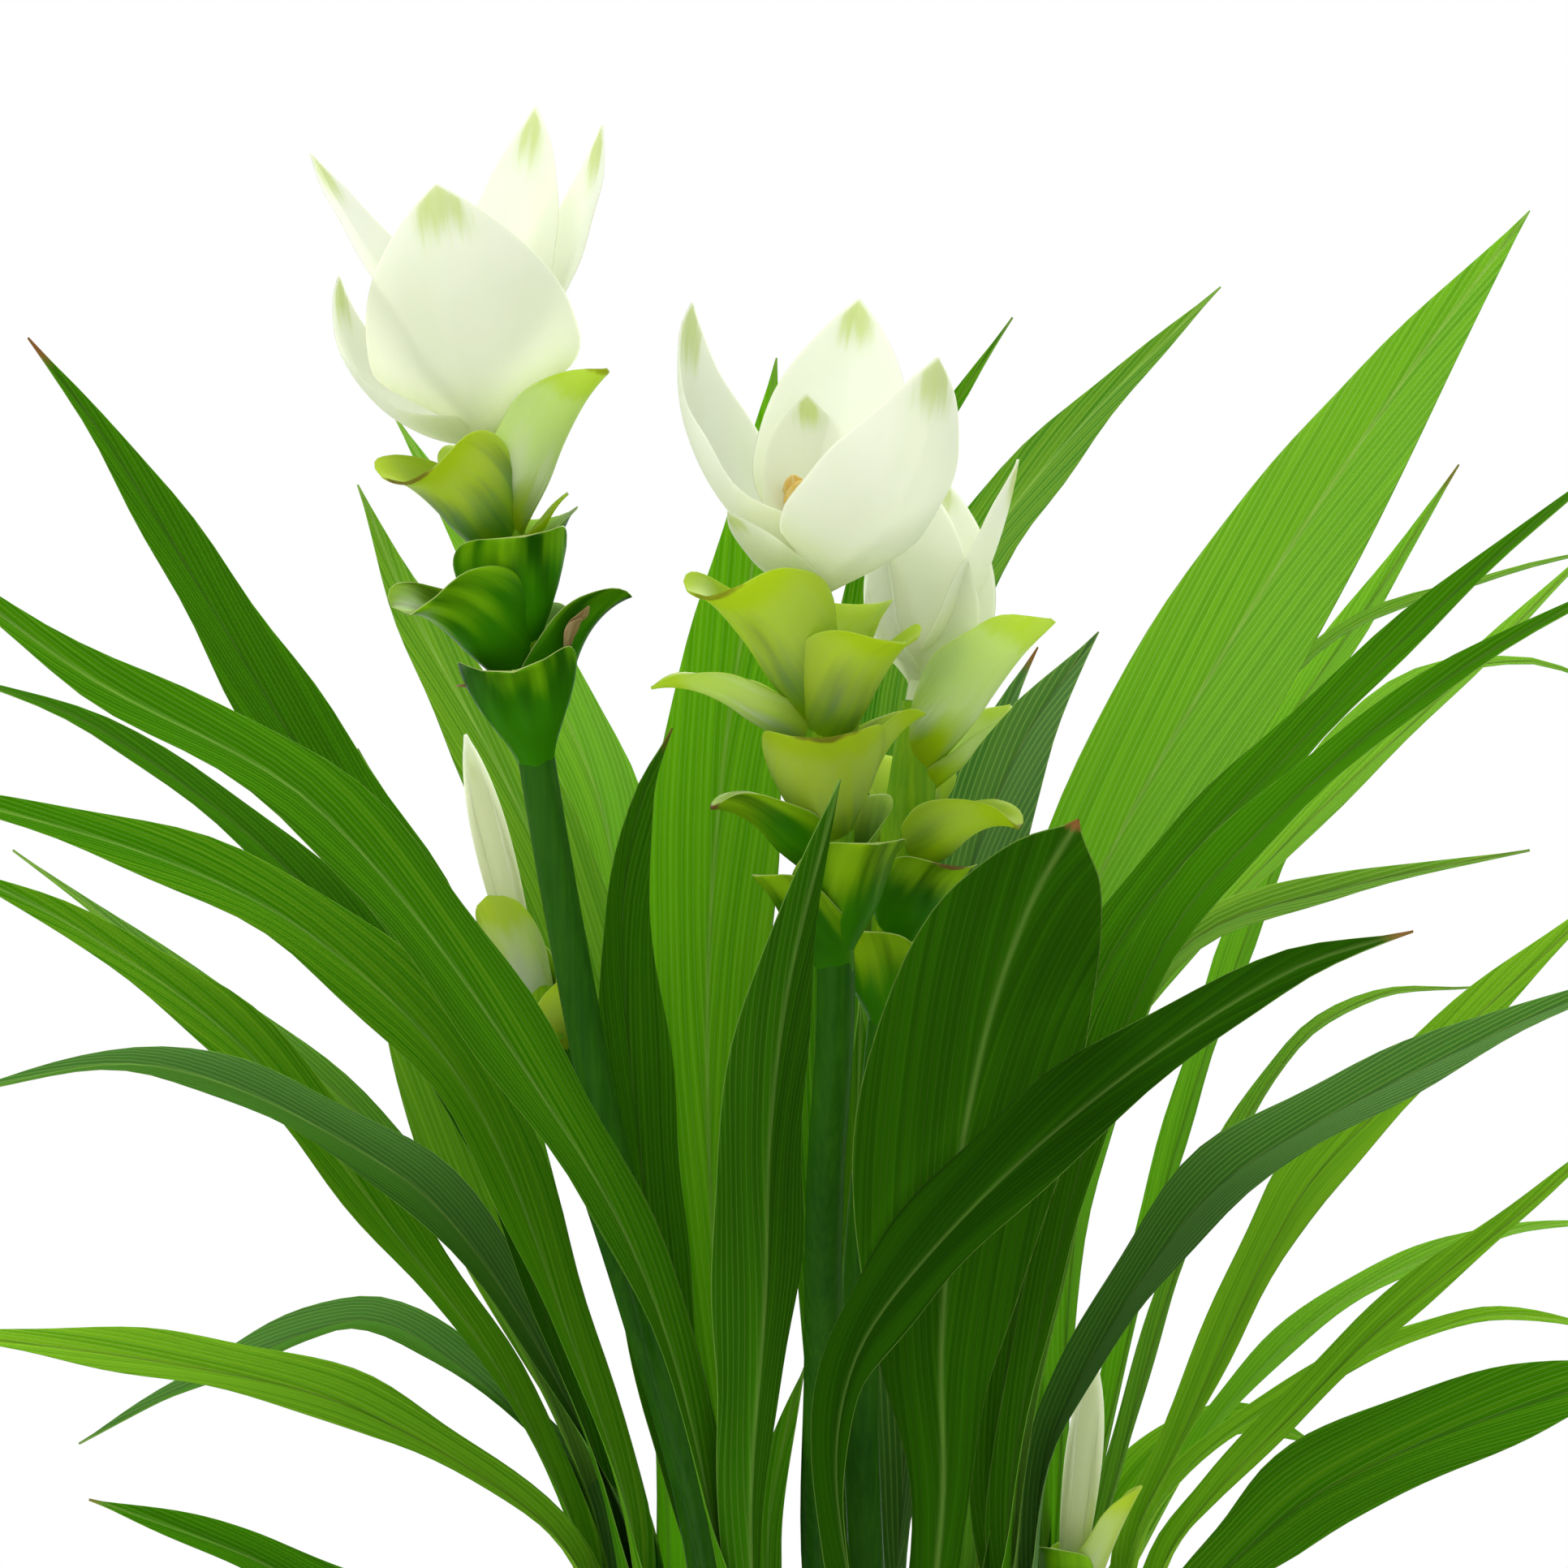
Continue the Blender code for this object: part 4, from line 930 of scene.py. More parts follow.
# A flower's route and spike are such points too. Bracts are (look, rise, heading, length, width, lean
# at the foot, lean at the tip) and petals the same without a look: the rise is along the spike in
# centimetres, the heading goes round it from the eye, and the leans are degrees away from it
flowers = {
    "left": {
        "foot": (-2.0, -1.4),
        "route": [(-2.95, 19.6, 1.9), (-4.0, 23.9, 2.6), (-5.1, 28.1, 3), (-5.9, 32.1, 3)],
        "spike": [(-6.42, 35.1, 3), (-7.46, 41.6, 3)],
        "bracts": [
            ("deep", 0.1, -5, 2.4, 3.8, 16, 70),
            ("deep", 0.8, 96, 3.1, 3.0, 14, 80),
            ("deep", 1.2, 180, 2.6, 2.8, 16, 70),
            ("green", 1.6, -48, 2.8, 4.0, 24, 95),
            ("green", 2.1, 14, 2.7, 3.5, 12, 55),
            ("green", 3.0, 145, 2.5, 2.8, 18, 70),
            ("mixed", 4.0, -38, 2.8, 4.1, 24, 98),
            ("scale", 4.3, 100, 1.3, 0.9, 30, 60),
            ("cream", 4.3, 64, 3.8, 3.1, 22, 62),
            ("lime", 4.7, 178, 2.4, 2.6, 20, 70),
        ],
        "comaEnd": (-7.65, 43.3, 3),
        "petals": [
            (0.1, -15, 5.0, 4.6, 36, -4),
            (0.1, -112, 4.9, 3.0, 84, -14),
            (0.9, -118, 6.0, 2.5, 35, 24),
            (1.1, 148, 6.5, 2.5, 34, 22),
            (0.9, 118, 6.2, 2.5, 48, 14),
            (0.7, -160, 4.4, 2.4, 16, 10),
        ],
    },
    "right": {
        "foot": (-0.2, -1.3),
        "route": [(-0.9, 19.6, 2.4), (-0.85, 23.4, 3.6), (-0.8, 27.0, 5)],
        "spike": [(-0.58, 31.2, 5.8), (-1.0, 38.6, 6)],
        "bracts": [
            ("moss", 0.0, -65, 2.2, 2.6, 12, 50),
            ("moss", 0.2, 30, 2.6, 3.0, 14, 55),
            ("moss", 1.2, 165, 2.4, 2.8, 16, 65),
            ("moss", 1.7, -78, 2.3, 2.7, 24, 90),
            ("lime", 2.1, 2, 2.6, 3.8, 12, 55),
            ("lime", 2.8, 98, 2.4, 2.6, 18, 70),
            ("lime", 3.2, -160, 2.4, 2.8, 18, 70),
            ("spoon", 4.0, -88, 3.0, 2.3, 40, 100),
            ("lime", 4.3, -38, 3.8, 4.0, 22, 84),
            ("lime", 3.9, 44, 2.8, 3.4, 18, 80),
            ("lime", 4.8, 150, 2.4, 2.8, 18, 65),
        ],
        "comaEnd": (-0.85, 40.3, 6),
        "petals": [
            (0.1, 45, 5.2, 4.0, 64, -6),
            (0.5, -110, 6.0, 4.2, 70, -10),
            (0.8, 168, 5.1, 3.0, 18, 14),
            (0.4, 104, 3.4, 2.6, 44, 14),
            (0.1, -55, 2.3, 1.8, 70, 42),
            (0.7, -150, 3.2, 2.4, 20, 10),
        ],
    },
    "back": {
        "foot": (0.5, 0.7),
        "route": [(0.0, 20.0, 0.3), (-0.1, 25.0, 1.1)],
        "spike": [(0.38, 30.0, 2), (1.1, 36.6, 2)],
        "bracts": [
            ("moss", 0.1, -30, 2.2, 2.6, 12, 55),
            ("moss", 1.0, 160, 2.1, 2.5, 14, 60),
            ("moss", 1.6, 35, 2.2, 2.9, 14, 65),
            ("moss", 2.2, -120, 2.2, 2.5, 16, 65),
            ("lime", 3.0, 72, 2.3, 2.9, 24, 110),
            ("lime", 3.6, -170, 2.2, 2.5, 18, 65),
            ("spoon", 4.6, 112, 2.4, 2.0, 26, 45),
            ("cream", 4.9, 58, 4.0, 3.1, 22, 52),
        ],
        "comaEnd": (1.25, 38.2, 2),
        "petals": [
            (0.2, -35, 4.4, 2.8, 22, 4),
            (0.6, 82, 4.4, 2.6, 30, 4),
            (0.5, 180, 4.0, 2.6, 16, 10),
            (0.4, -110, 3.8, 2.2, 20, 10),
        ],
    },
    "left_bud": {
        "foot": (-2.6, 0.2),
        "route": [(-3.2, 19.8, 0.8), (-4.6, 25.0, 1.5)],
        "spike": [(-6.1, 29.5, 1.6), (-6.7, 31.3, 1.6)],
        "bracts": [
            ("striped", 0.3, -20, 3.2, 1.9, 6, 8),
            ("lime", 0.0, 60, 1.8, 1.6, 16, 50),
            ("green", 0.2, 165, 2.2, 1.7, 8, 14),
        ],
        "comaEnd": (-6.98, 32.4, 1.6),
        "petals": [
            (0.1, 0, 4.6, 0.95, 4, -8),
            (0.1, 120, 4.1, 0.95, 4, -9),
            (0.1, -120, 4.3, 0.95, 4, -9),
        ],
    },
    "right_bud": {
        "foot": (3.0, -0.5),
        "route": [(3.6, 16.0, 1.3)],
        "spike": [(3.96, 17.9, 1.8), (4.06, 19.5, 1.8)],
        "bracts": [
            ("green", 0.2, -25, 2.0, 2.0, 12, 24),
            ("pale", 0.5, 80, 3.0, 1.7, 14, 26),
            ("green", 0.1, 170, 2.0, 1.9, 12, 24),
        ],
        "comaEnd": (4.17, 20.5, 1.8),
        "petals": [
            (0.1, 0, 4.0, 0.95, 4, -8),
            (0.1, 120, 3.6, 0.95, 4, -9),
            (0.1, -120, 3.8, 0.95, 4, -9),
        ],
    },
}

# How a leaf is shaped: metres and degrees, and shares of its length or of its shoot's width
leafForm = {
    "steps": 46,
    "sheathSteps": 9,
    "stalkWidth": 0.0095,
    "narrowStalk": 0.7,
    "stalkShare": 0.22,
    "widestShare": 0.62,
    "point": (1.8, 1.1),
    "tipWidth": 0.0003,
    "stalkRadius": 0.0042,
    "stalkSwell": 1.15,
    "turned": 0.22,                   # by here a leaf has its own turn
    "parted": 0.16,
    "opens": (0.05, 0.4),             # from here, and over this share of its length
    "pushed": 0.18,
    "bladeBend": -16.0,
    "bladeFold": 15,
    "sink": 0.018,
    "spread": 0.0016,
    "collar": 0.006,
    "soilTop": 0.11,
    "footRadius": 0.0072,
    "neckRadius": 0.0042,
    "layer": 0.00035,                 # how much farther out each next leaf's sheath lies
    "coreDepth": 0.02,
    "coreSteps": 8,
    "core": (0.74, 0.76, 0.5),        # its width in the soil, above it and at the neck
    "coreTop": 0.97,
    "sheathFrom": -0.14,              # a share of the shoot's height, under the soil
    "sheathTops": (0.5, 0.8),         # where the two bladeless sheaths end
    "sheathCurl": 0.8,
    "sheathWrap": 2.1,
    "outerWrap": 1.9,
    "outerRound": 0.6,
    "outerLook": (0.75, 0.25, 0.4),   # tone, grey and light through it, as in leafLooks
    "toneSpread": 0.05,
    "dryness": (0, 0, 0, 0.6),        # one leaf in four has a dry tip
}

# The blade tree's values for each kind of blade, and the stem tree's
bladeSizes = {
    "leaf": {
        "Sides": 40, "Thickness": 0.00045, "Keel": 0.0006, "Keel Width": 0.001, "Wave": 0.0007,
    },
    "bract": {
        "Sides": 44, "Thickness": 0.0006, "Keel": 0.0003, "Keel Width": 0.0012, "Wave": 0.0004,
        "Wave Length": 0.014, "Lip": 0.16,
    },
    "petal": {
        "Sides": 48, "Thickness": 0.0005, "Keel": 0.00015, "Keel Width": 0.0012, "Wave": 0.0003,
        "Wave Length": 0.02,
    },
    "floret": {
        "Sides": 24, "Thickness": 0.0004, "Keel": 0.0, "Wave": 0.0009, "Wave Length": 0.006,
    },
}
stemSizes = {
    "shoot": {"Sides": 20},
    "flower": {"Sides": 24, "Rib": 0.02, "Ribs": 7},
    "spike": {"Sides": 24, "Rib": 0.03, "Ribs": 5},
    "coma": {"Sides": 16},
}

# How light and how grey a leaf is, and how much light comes through it
# Painted light and shade: shaded leaves and the two that face the sky get darker tones, lit ones
# lighter, and the grey share paints a sheen
leafLooks = {
    "deep": (0.34, 0.02, 0.02),
    "glossy": (0.36, 0.40, 0.04),
    "shaded": (0.12, 0.00, 0.01),
    "shadedArch": (0.36, 0.00, 0.02),
    "middle": (0.46, 0.00, 0.04),
    "bright": (0.60, 0.00, 0.24),
    "fresh": (0.92, 0.34, 0.40),
    "lit": (0.82, 0.00, 0.32),
    "grey": (0.46, 0.70, 0.08),
    "pale": (0.78, 0.15, 0.25),
    "striped": (0.64, 0.00, 0.42),
    "ribbed": (0.66, 0.26, 0.18),
    "silver": (0.86, 0.50, 0.30),
}

# Leaves whose tips have dried brown, by shoot and place in it
driedTips = {
    ("leafy_shoot_3", 0): 1.0,
    ("leafy_shoot_6", 3): 1.0,
    ("leafy_shoot_7", 0): 1.0,
    ("leafy_shoot_7", 1): 0.9,
}


def leafWidth(share, width):
    form = leafForm
    stalk = min(form["stalkWidth"], width * form["narrowStalk"])
    if share < form["widestShare"]:
        grown = (share - form["stalkShare"]) / (form["widestShare"] - form["stalkShare"])
        return stalk + (width - stalk) * ease(grown)
    past = (share - form["widestShare"]) / (1 - form["widestShare"])
    return max(form["tipWidth"], width * (1 - past ** form["point"][0]) ** form["point"][1])


def shootAxis(shoot):
    # The line of a shoot's wrapped sheaths, from just over the soil to where the leaves part
    ground = Vector((*shoot["foot"], 0)) * cm
    ground.z = leafForm["soilTop"] + leafForm["collar"]
    return ground, Vector(shoot["neck"]) * cm


def sheathRows(axis, outward, layer, top, wrap):
    # A sheath wraps the shoot's core, with its back outwards
    form = leafForm
    ground, neck = axis
    along = (neck - ground).normalized()
    back = (outward - along * outward.dot(along)).normalized()
    rows = []
    low = form["sheathFrom"]
    for i in range(form["sheathSteps"]):
        share = low + (top - low) * i / form["sheathSteps"]
        wide = mixed(form["footRadius"], form["neckRadius"], share)
        radius = wide * form["sheathCurl"] + layer
        rows.append({
            "mid": ground.lerp(neck, share) + back * radius,
            "face": -back, "sideways": along.cross(-back), "half": wide * wrap,
            "bend": 1 / radius, "fold": 0.0, "share": (share - top) * 0.3,
        })
    return rows


def leafRows(axis, order, plan):
    look, width, turns, route = plan
    form = leafForm
    ground, neck = axis
    along = (neck - ground).normalized()
    start = neck - along * form["sink"]
    top = 1 - form["sink"] / (neck - ground).length
    knots = [seen(*point) for point in route]
    outward = Vector((knots[0].x - start.x, knots[0].y - start.y, 0)).normalized()
    layer = order * form["layer"]
    rows = sheathRows(axis, outward, layer, top, form["sheathWrap"])
    wide = mixed(form["footRadius"], form["neckRadius"], top)
    rootRadius = wide * form["sheathCurl"] + layer
    knots = [start + outward * form["spread"], *knots]
    steps = form["steps"]
    places = smoothRoute(knots, steps)
    side = 1 if places[-1].x < places[0].x else -1
    before = 0.0
    for i, place in enumerate(places):
        share = i / steps
        along = (places[min(i + 1, steps)] - places[max(i - 1, 0)]).normalized()
        turn = math.radians(between(turns, share))
        sight = (view["eye"] - place).normalized()
        facing = (sight - along * sight.dot(along)).normalized()
        wanted = facing * math.cos(turn) + along.cross(facing) * side * math.sin(turn)
        inner = (along * outward.dot(along) - outward).normalized()
        angle = math.atan2(along.dot(inner.cross(wanted)), inner.dot(wanted))
        while angle - before > math.pi:
            angle -= fullTurn
        while angle - before < -math.pi:
            angle += fullTurn
        before = angle
        angle *= ease(share / form["turned"])
        face = inner * math.cos(angle) + along.cross(inner) * math.sin(angle)
        parted = ease(share / form["parted"])
        opened = ease((share - form["opens"][0]) / form["opens"][1])
        blade = leafWidth(share, width * cm) / 2 * mixed(form["stalkSwell"], 1, opened)
        half = mixed(wide * form["sheathWrap"], blade, parted)
        radius = mixed(rootRadius, form["stalkRadius"], parted)
        bend = mixed(1 / radius, form["bladeBend"], opened)
        push = (rootRadius - form["spread"]) * (1 - ease(share / form["pushed"]))
        rows.append({
            "mid": place + outward * push, "face": face, "sideways": along.cross(face), "half": half,
            "bend": bend if abs(bend) > 1 else 1.0, "fold": math.radians(form["bladeFold"]) * opened,
            "share": share,
        })
    return rows


def painted(rows, look, phase, dry):
    tone, grey, through = look
    for row in rows:
        row.update({"tone": tone, "grey": grey, "through": through, "phase": phase, "dry": dry})
    return withMetres(rows)


def makeShoot(name, shoot, dice):
    form = leafForm
    axis = shootAxis(shoot)
    lines = []
    for order, plan in enumerate(shoot["leaves"]):
        tone, grey, through = leafLooks[plan[0]]
        tone += dice.uniform(-form["toneSpread"], form["toneSpread"])
        dry = driedTips.get((name, order), dice.choice(form["dryness"]))
        rows = leafRows(axis, order, plan)
        lines.append(painted(rows, (tone, grey, through), dice.random(), dry))
    # Bladeless sheaths stand outside the leaves
    for i, top in enumerate(form["sheathTops"]):
        heading = dice.uniform(0, fullTurn)
        outward = Vector((math.cos(heading), math.sin(heading), 0))
        layer = (len(lines) + 1 + i) * form["layer"]
        rows = sheathRows(axis, outward, layer, top, form["outerWrap"])
        for j, row in enumerate(rows):
            row["half"] *= (1 - (j / (len(rows) - 1)) ** 2) ** form["outerRound"] + 0.02
            row["share"] = -0.2
        lines.append(painted(rows, form["outerLook"], dice.random(), 0))
    put(makeBlades(name + "_leaves", lines, bladeSizes["leaf"], leafSkin), "leaf_green", name)
    ground, neck = axis
    below, above, end = form["core"]
    core = [(ground - Vector((0, 0, form["coreDepth"])), form["footRadius"] * below)]
    for i in range(form["coreSteps"] + 1):
        share = i / form["coreSteps"]
        radius = mixed(form["footRadius"], form["neckRadius"], share) * (above if share < 1 else end)
        core.append((ground.lerp(neck, share * form["coreTop"]), radius))
    put(makeStem(name + "_core", core, stemSizes["shoot"], sheathSkin), "leaf_green")


# How bracts are shaped, by kind: shares of the width and length, the curl's radius, its pace and the
# lean's, and metres that the bract stands and bellies out from the spike
bractForms = {
    "green": {
        "root": 0.5, "widest": 0.58, "point": 0.62, "curl": 0.011, "pace": 1.4, "flare": 2.0,
        "stand": 0.0022, "belly": 0.0036,
    },
    "sheath": {
        "root": 0.6, "widest": 0.58, "point": 0.62, "curl": 0.0055, "pace": 1.4, "flare": 1.4,
        "stand": 0.0022, "belly": 0.0006,
    },
    "white": {
        "root": 0.32, "widest": 0.33, "point": 0.9, "curl": 0.030, "pace": 3.5, "flare": 1.0,
        "stand": 0.0015, "belly": 0.0,
    },
    "bud": {
        "root": 0.5, "widest": 0.35, "point": 0.8, "curl": 0.0042, "pace": 1.4, "flare": 1.0,
        "stand": 0.0020, "belly": 0.0,
    },
    "floret": {
        "root": 0.3, "widest": 0.6, "point": 0.6, "curl": 0.0035, "pace": 1.4, "flare": 1.0,
        "stand": 0.0020, "belly": 0.0,
    },
}
bractForm = {
    "steps": 26,
    "bellyPace": 2.5,
    "dryness": (0, 0, 1),
    "stemSteps": 40,
    "stemEnd": 0.3,
    "rootCurl": 0.003,
    "tipWidth": 0.0007,
    "stemRadius": 0.0035,
    "spikeRadius": 0.0036,
    "spikeSwell": 0.0014,
    "spikeFrom": 0.22,
    "spikeSteps": 12,
    "comaFoot": 0.003,
    "comaMiddle": 0.8,
    "comaEnd": 0.0014,
    "comaGap": 0.0003,
    "petalFold": 7,
}

# How lime and how creamy a bract is, and how much light comes through it
bractLooks = {
    "deep": (0.0, 0.0, 0.04),
    "green": (0.10, 0.0, 0.10),
    "moss": (0.28, 0.0, 0.14),
    "mixed": (0.54, 0.12, 0.30),
    "lime": (0.72, 0.18, 0.48),
    "spoon": (0.80, 0.8, 0.50),
    "cream": (0.86, 1.5, 0.50),
    "striped": (0.55, 0.6, 0.42),
    "pale": (0.85, 0.6, 0.45),
    "scale": (0.95, 0.0, 0.50),
    "white": (1.0, 0.0, 0.52),
    "bud": (0.6, 0.6, 0.78),
}


def bractWidth(share, width, kind):
    if share < kind["widest"]:
        short = 1 - share / kind["widest"]
        return width * (1 - (1 - kind["root"]) * short * short)
    past = (share - kind["widest"]) / (1 - kind["widest"])
    return max(bractForm["tipWidth"], width * max(0, 1 - past * past) ** kind["point"])


def bractRows(axis, shape, kind, fold=0.0):
    # A cupped blade that leaves the spike and leans out from it
    rise, heading, length, width, leanStart, leanEnd = shape
    form = bractForm
    foot, end = axis
    up = (end - foot).normalized()
    sight = (view["eye"] - foot).normalized()
    front = (sight - up * sight.dot(up)).normalized()
    turn = math.radians(heading)
    out = front * math.cos(turn) + up.cross(front) * math.sin(turn)
    place = foot + up * rise * cm + out * kind["stand"]
    steps = form["steps"]
    rows = []
    for i in range(steps + 1):
        share = i / steps
        lean = math.radians(mixed(leanStart, leanEnd, share ** kind["flare"]))
        outer = out * math.cos(lean) - up * math.sin(lean)
        curl = mixed(form["rootCurl"], kind["curl"], ease(share * kind["pace"]))
        rows.append({
            "mid": place + out * kind["belly"] * ease(share * form["bellyPace"]),
            "sideways": up.cross(out), "face": -outer, "bend": 1 / curl,
            "half": bractWidth(share, width * cm, kind) / 2, "fold": fold * share, "share": share,
        })
        lean = math.radians(mixed(leanStart, leanEnd, (share + 0.5 / steps) ** kind["flare"]))
        place += (out * math.sin(lean) + up * math.cos(lean)) * length * cm / steps
    return rows


def makeFlower(side, flower, dice):
    form = bractForm
    bud = side.endswith("bud")
    stem = side + "_stem" if bud else "flower_stem_" + side
    coma = side + "_coma" if bud else "coma_" + side
    foot = Vector((*flower["foot"], 0)) * cm
    foot.z = leafForm["soilTop"] - leafForm["coreDepth"]
    ground = foot.copy()
    ground.z = leafForm["soilTop"] + leafForm["collar"]
    spike = [seen(*point) for point in flower["spike"]]
    top = seen(*flower["comaEnd"])
    knots = [ground, *[seen(*point) for point in flower["route"]], *spike]
    route = smoothRoute(knots, form["stemSteps"])
    below = [place for place in route if (place - spike[0]).dot(spike[1] - spike[0]) < 0]
    below = [foot, *below, spike[0], spike[0].lerp(spike[1], form["stemEnd"])]
    line = [(place, form["stemRadius"]) for place in below]
    put(makeStem(stem + "_core", line, stemSizes["flower"], stemSkin), "bract_green")
    line = []
    for i in range(form["spikeSteps"] + 1):
        share = mixed(form["spikeFrom"], 1, i / form["spikeSteps"])
        swell = form["spikeSwell"] * math.sin(math.pi * share)
        line.append((spike[0].lerp(spike[1], share), form["spikeRadius"] + swell))
    put(makeStem(stem + "_spike", line, stemSizes["spike"], spikeSkin), "bract_green")
    lines = []
    for look, *shape in flower["bracts"]:
        dry = dice.choice(form["dryness"])
        rows = bractRows(spike, shape, bractForms["sheath" if bud else "green"])
        lines.append(painted(rows, bractLooks[look], dice.random(), dry))
    put(makeBlades(stem + "_bracts", lines, bladeSizes["bract"], bractSkin), "bract_green", stem)
    rise = (spike[1] - spike[0]).normalized()
    axis = [spike[1] + rise * form["comaGap"], top]
    kind = "bud" if bud else "white"
    fold = math.radians(0 if bud else form["petalFold"])
    lines = []
    for shape in flower["petals"]:
        rows = bractRows(axis, shape, bractForms[kind], fold)
        lines.append(painted(rows, bractLooks[kind], dice.random(), 0))
    put(makeBlades(coma + "_petals", lines, bladeSizes["petal"], petalSkin), "petal_white", coma)
    middle = axis[0].lerp(top, 0.5), form["comaFoot"] * form["comaMiddle"]
    core = [(axis[0], form["comaFoot"]), middle, (top, form["comaEnd"])]
    put(makeStem(coma + "_core", core, stemSizes["coma"], petalSkin), "petal_white")


# Pot: a plain white tapered cup with a round rim
potForm = {
    "height": 0.125,
    "topRadius": 0.07,
    "footRadius": 0.0495,
    "wall": 0.006,
    "floor": 0.007,
    "corner": 0.003,
    "rimSteps": 12,
    "footRound": 0.002,
    "footSteps": 4,
    "standRing": (0.008, 0.0095, 0.0012),   # how far in from the foot, at its base and top, and how deep
    "steps": 120,
    "drainRadius": 0.005,
    "drainCircle": 0.026,
    "drainCut": 0.04,
    "drains": 4,
}


def innerRadius(height):
    # The pot's inside widens evenly from its floor to its rim
    form = potForm
    share = (height - form["floor"]) / (form["height"] - form["floor"])
    return mixed(form["footRadius"], form["topRadius"], share) - form["wall"]


def lathed(name, profile, steps):
    # A closed profile of (radius, height) points turned round the pot's axis
    cup = bmesh.new()
    rings = []
    for radius, height in profile:
        if radius == 0:
            rings.append([cup.verts.new((0, 0, height))])
            continue
        ring = []
        for i in range(steps):
            turn = fullTurn * i / steps
            ring.append(cup.verts.new((radius * math.cos(turn), radius * math.sin(turn), height)))
        rings.append(ring)
    for low, high in zip(rings, rings[1:]):
        for i in range(steps):
            j = (i + 1) % steps
            corners = [low[i % len(low)], low[j % len(low)], high[j % len(high)], high[i % len(high)]]
            cup.faces.new(list(dict.fromkeys(corners)))
    bmesh.ops.recalc_face_normals(cup, faces=cup.faces)
    mesh = bpy.data.meshes.new(name)
    cup.to_mesh(mesh)
    cup.free()
    thing = bpy.data.objects.new(name, mesh)
    bpy.context.scene.collection.objects.link(thing)
    return thing


def makePot():
    form = potForm
    rim = form["wall"] / 2
    middle = form["topRadius"] - rim
    floor, corner, foot = form["floor"], form["corner"], form["footRadius"]
    profile = [
        (0, floor),
        (innerRadius(floor) - corner, floor),
        (innerRadius(floor + corner), floor + corner),
    ]
    for i in range(form["rimSteps"] + 1):
        turn = math.pi * (1 - i / form["rimSteps"])
        profile.append((middle + rim * math.cos(turn), form["height"] - rim + rim * math.sin(turn)))
    for i in range(form["footSteps"] + 1):
        turn = math.pi / 2 * i / form["footSteps"]
        profile.append((
            foot - form["footRound"] * (1 - math.cos(turn)),
            form["footRound"] * (1 - math.sin(turn)),
        ))
    inside, hollow, depth = form["standRing"]
    profile += [(foot - inside, 0), (foot - hollow, depth), (0, depth)]
    pot = lathed("pot_cup", profile, form["steps"])
    for i in range(form["drains"]):
        turn = fullTurn * (i + 0.5) / form["drains"]
        out = form["drainCircle"]
        place = (out * math.cos(turn), out * math.sin(turn), 0)
        bpy.ops.mesh.primitive_cylinder_add(
            vertices=40, radius=form["drainRadius"], depth=form["drainCut"], location=place)
        cutter = bpy.context.object
        hole = pot.modifiers.new("Drain", "BOOLEAN")
        hole.operation = "DIFFERENCE"
        hole.object = cutter
        graph = bpy.context.evaluated_depsgraph_get()
        drilled = bpy.data.meshes.new_from_object(pot.evaluated_get(graph), depsgraph=graph)
        pot.modifiers.remove(hole)
        pot.data = drilled
        bpy.data.objects.remove(cutter)
    pot.data.shade_smooth()
    pot.data.set_sharp_from_angle(angle=math.radians(40))
    pot.data.materials.clear()
    pot.data.materials.append(potGlaze)
    put(pot, "white_ceramic", "pot")


# Soil: a crumbly mound a little under the rim, with perlite in it
soilForm = {
    "top": 0.11,
    "mound": 0.0025,
    "rings": 46,
    "spokes": 150,
    "relief": 0.0011,
    "grains": (190, 470),
    "swell": 0.001,
    "swells": ((1.7, 0.6), (1.9, -0.4)),
    "bareEdge": 0.004,
    "gap": 0.0003,
}

# What lies on the soil: the tree's values, then the paint's name, two colours and roughness
crumbKinds = {
    "soil_crumbs": (
        {"Density": 52000.0, "Seed": 4, "Smallest": 0.0006, "Largest": 0.0024},
        ("soilCrumb", "dark", "straw", 0.85),
    ),
    "soil_perlite": (
        {"Density": 5200.0, "Seed": 9, "Smallest": 0.0006, "Largest": 0.0018},
        ("perlite", "straw", "perlite", 0.8),
    ),
}


def soilHeight(x, y):
    form = soilForm
    edge = innerRadius(form["top"])
    share = min(math.hypot(x, y) / edge, 1)
    (paceX, startX), (paceY, startY) = form["swells"]
    swell = form["swell"] * math.sin(x / cm * paceX + startX) * math.cos(y / cm * paceY + startY)
    coarse, fine = form["grains"]
    grain = noise.noise(Vector((x, y, 0)) * coarse) + 0.6 * noise.noise(Vector((x, y, 3)) * fine)
    return form["top"] + form["mound"] * (1 - share * share) + swell + grain * form["relief"]


def makeSoil():
    form = soilForm
    edge = innerRadius(form["top"]) - form["gap"]
    floor = potForm["floor"] + potForm["corner"] + form["gap"]
    profile = [(edge * i / form["rings"], 0.0) for i in range(form["rings"] + 1)]
    profile += [(innerRadius(floor) - form["gap"], floor), (0, floor)]
    soil = lathed("soil_bed", profile, form["spokes"])
    for corner in soil.data.vertices:
        if corner.co.z < form["gap"]:
            corner.co.z = soilHeight(corner.co.x, corner.co.y)
    facedOut(soil)
    soil.data.shade_smooth()
    soil.data.materials.append(soilPaint)
    put(soil, "potting_soil", "soil")
    top = bpy.data.meshes.new("soil_top")
    bed = bmesh.new()
    bed.from_mesh(soil.data)
    low = [corner for corner in bed.verts if corner.co.z < form["top"] - form["bareEdge"]]
    bmesh.ops.delete(bed, geom=low, context="VERTS")
    bed.to_mesh(top)
    bed.free()
    for name, (values, paint) in crumbKinds.items():
        crumbs = grown(name, top.copy(), crumbTree, {**values, "Material": makeEarth(*paint)})
        put(crumbs, "potting_soil")


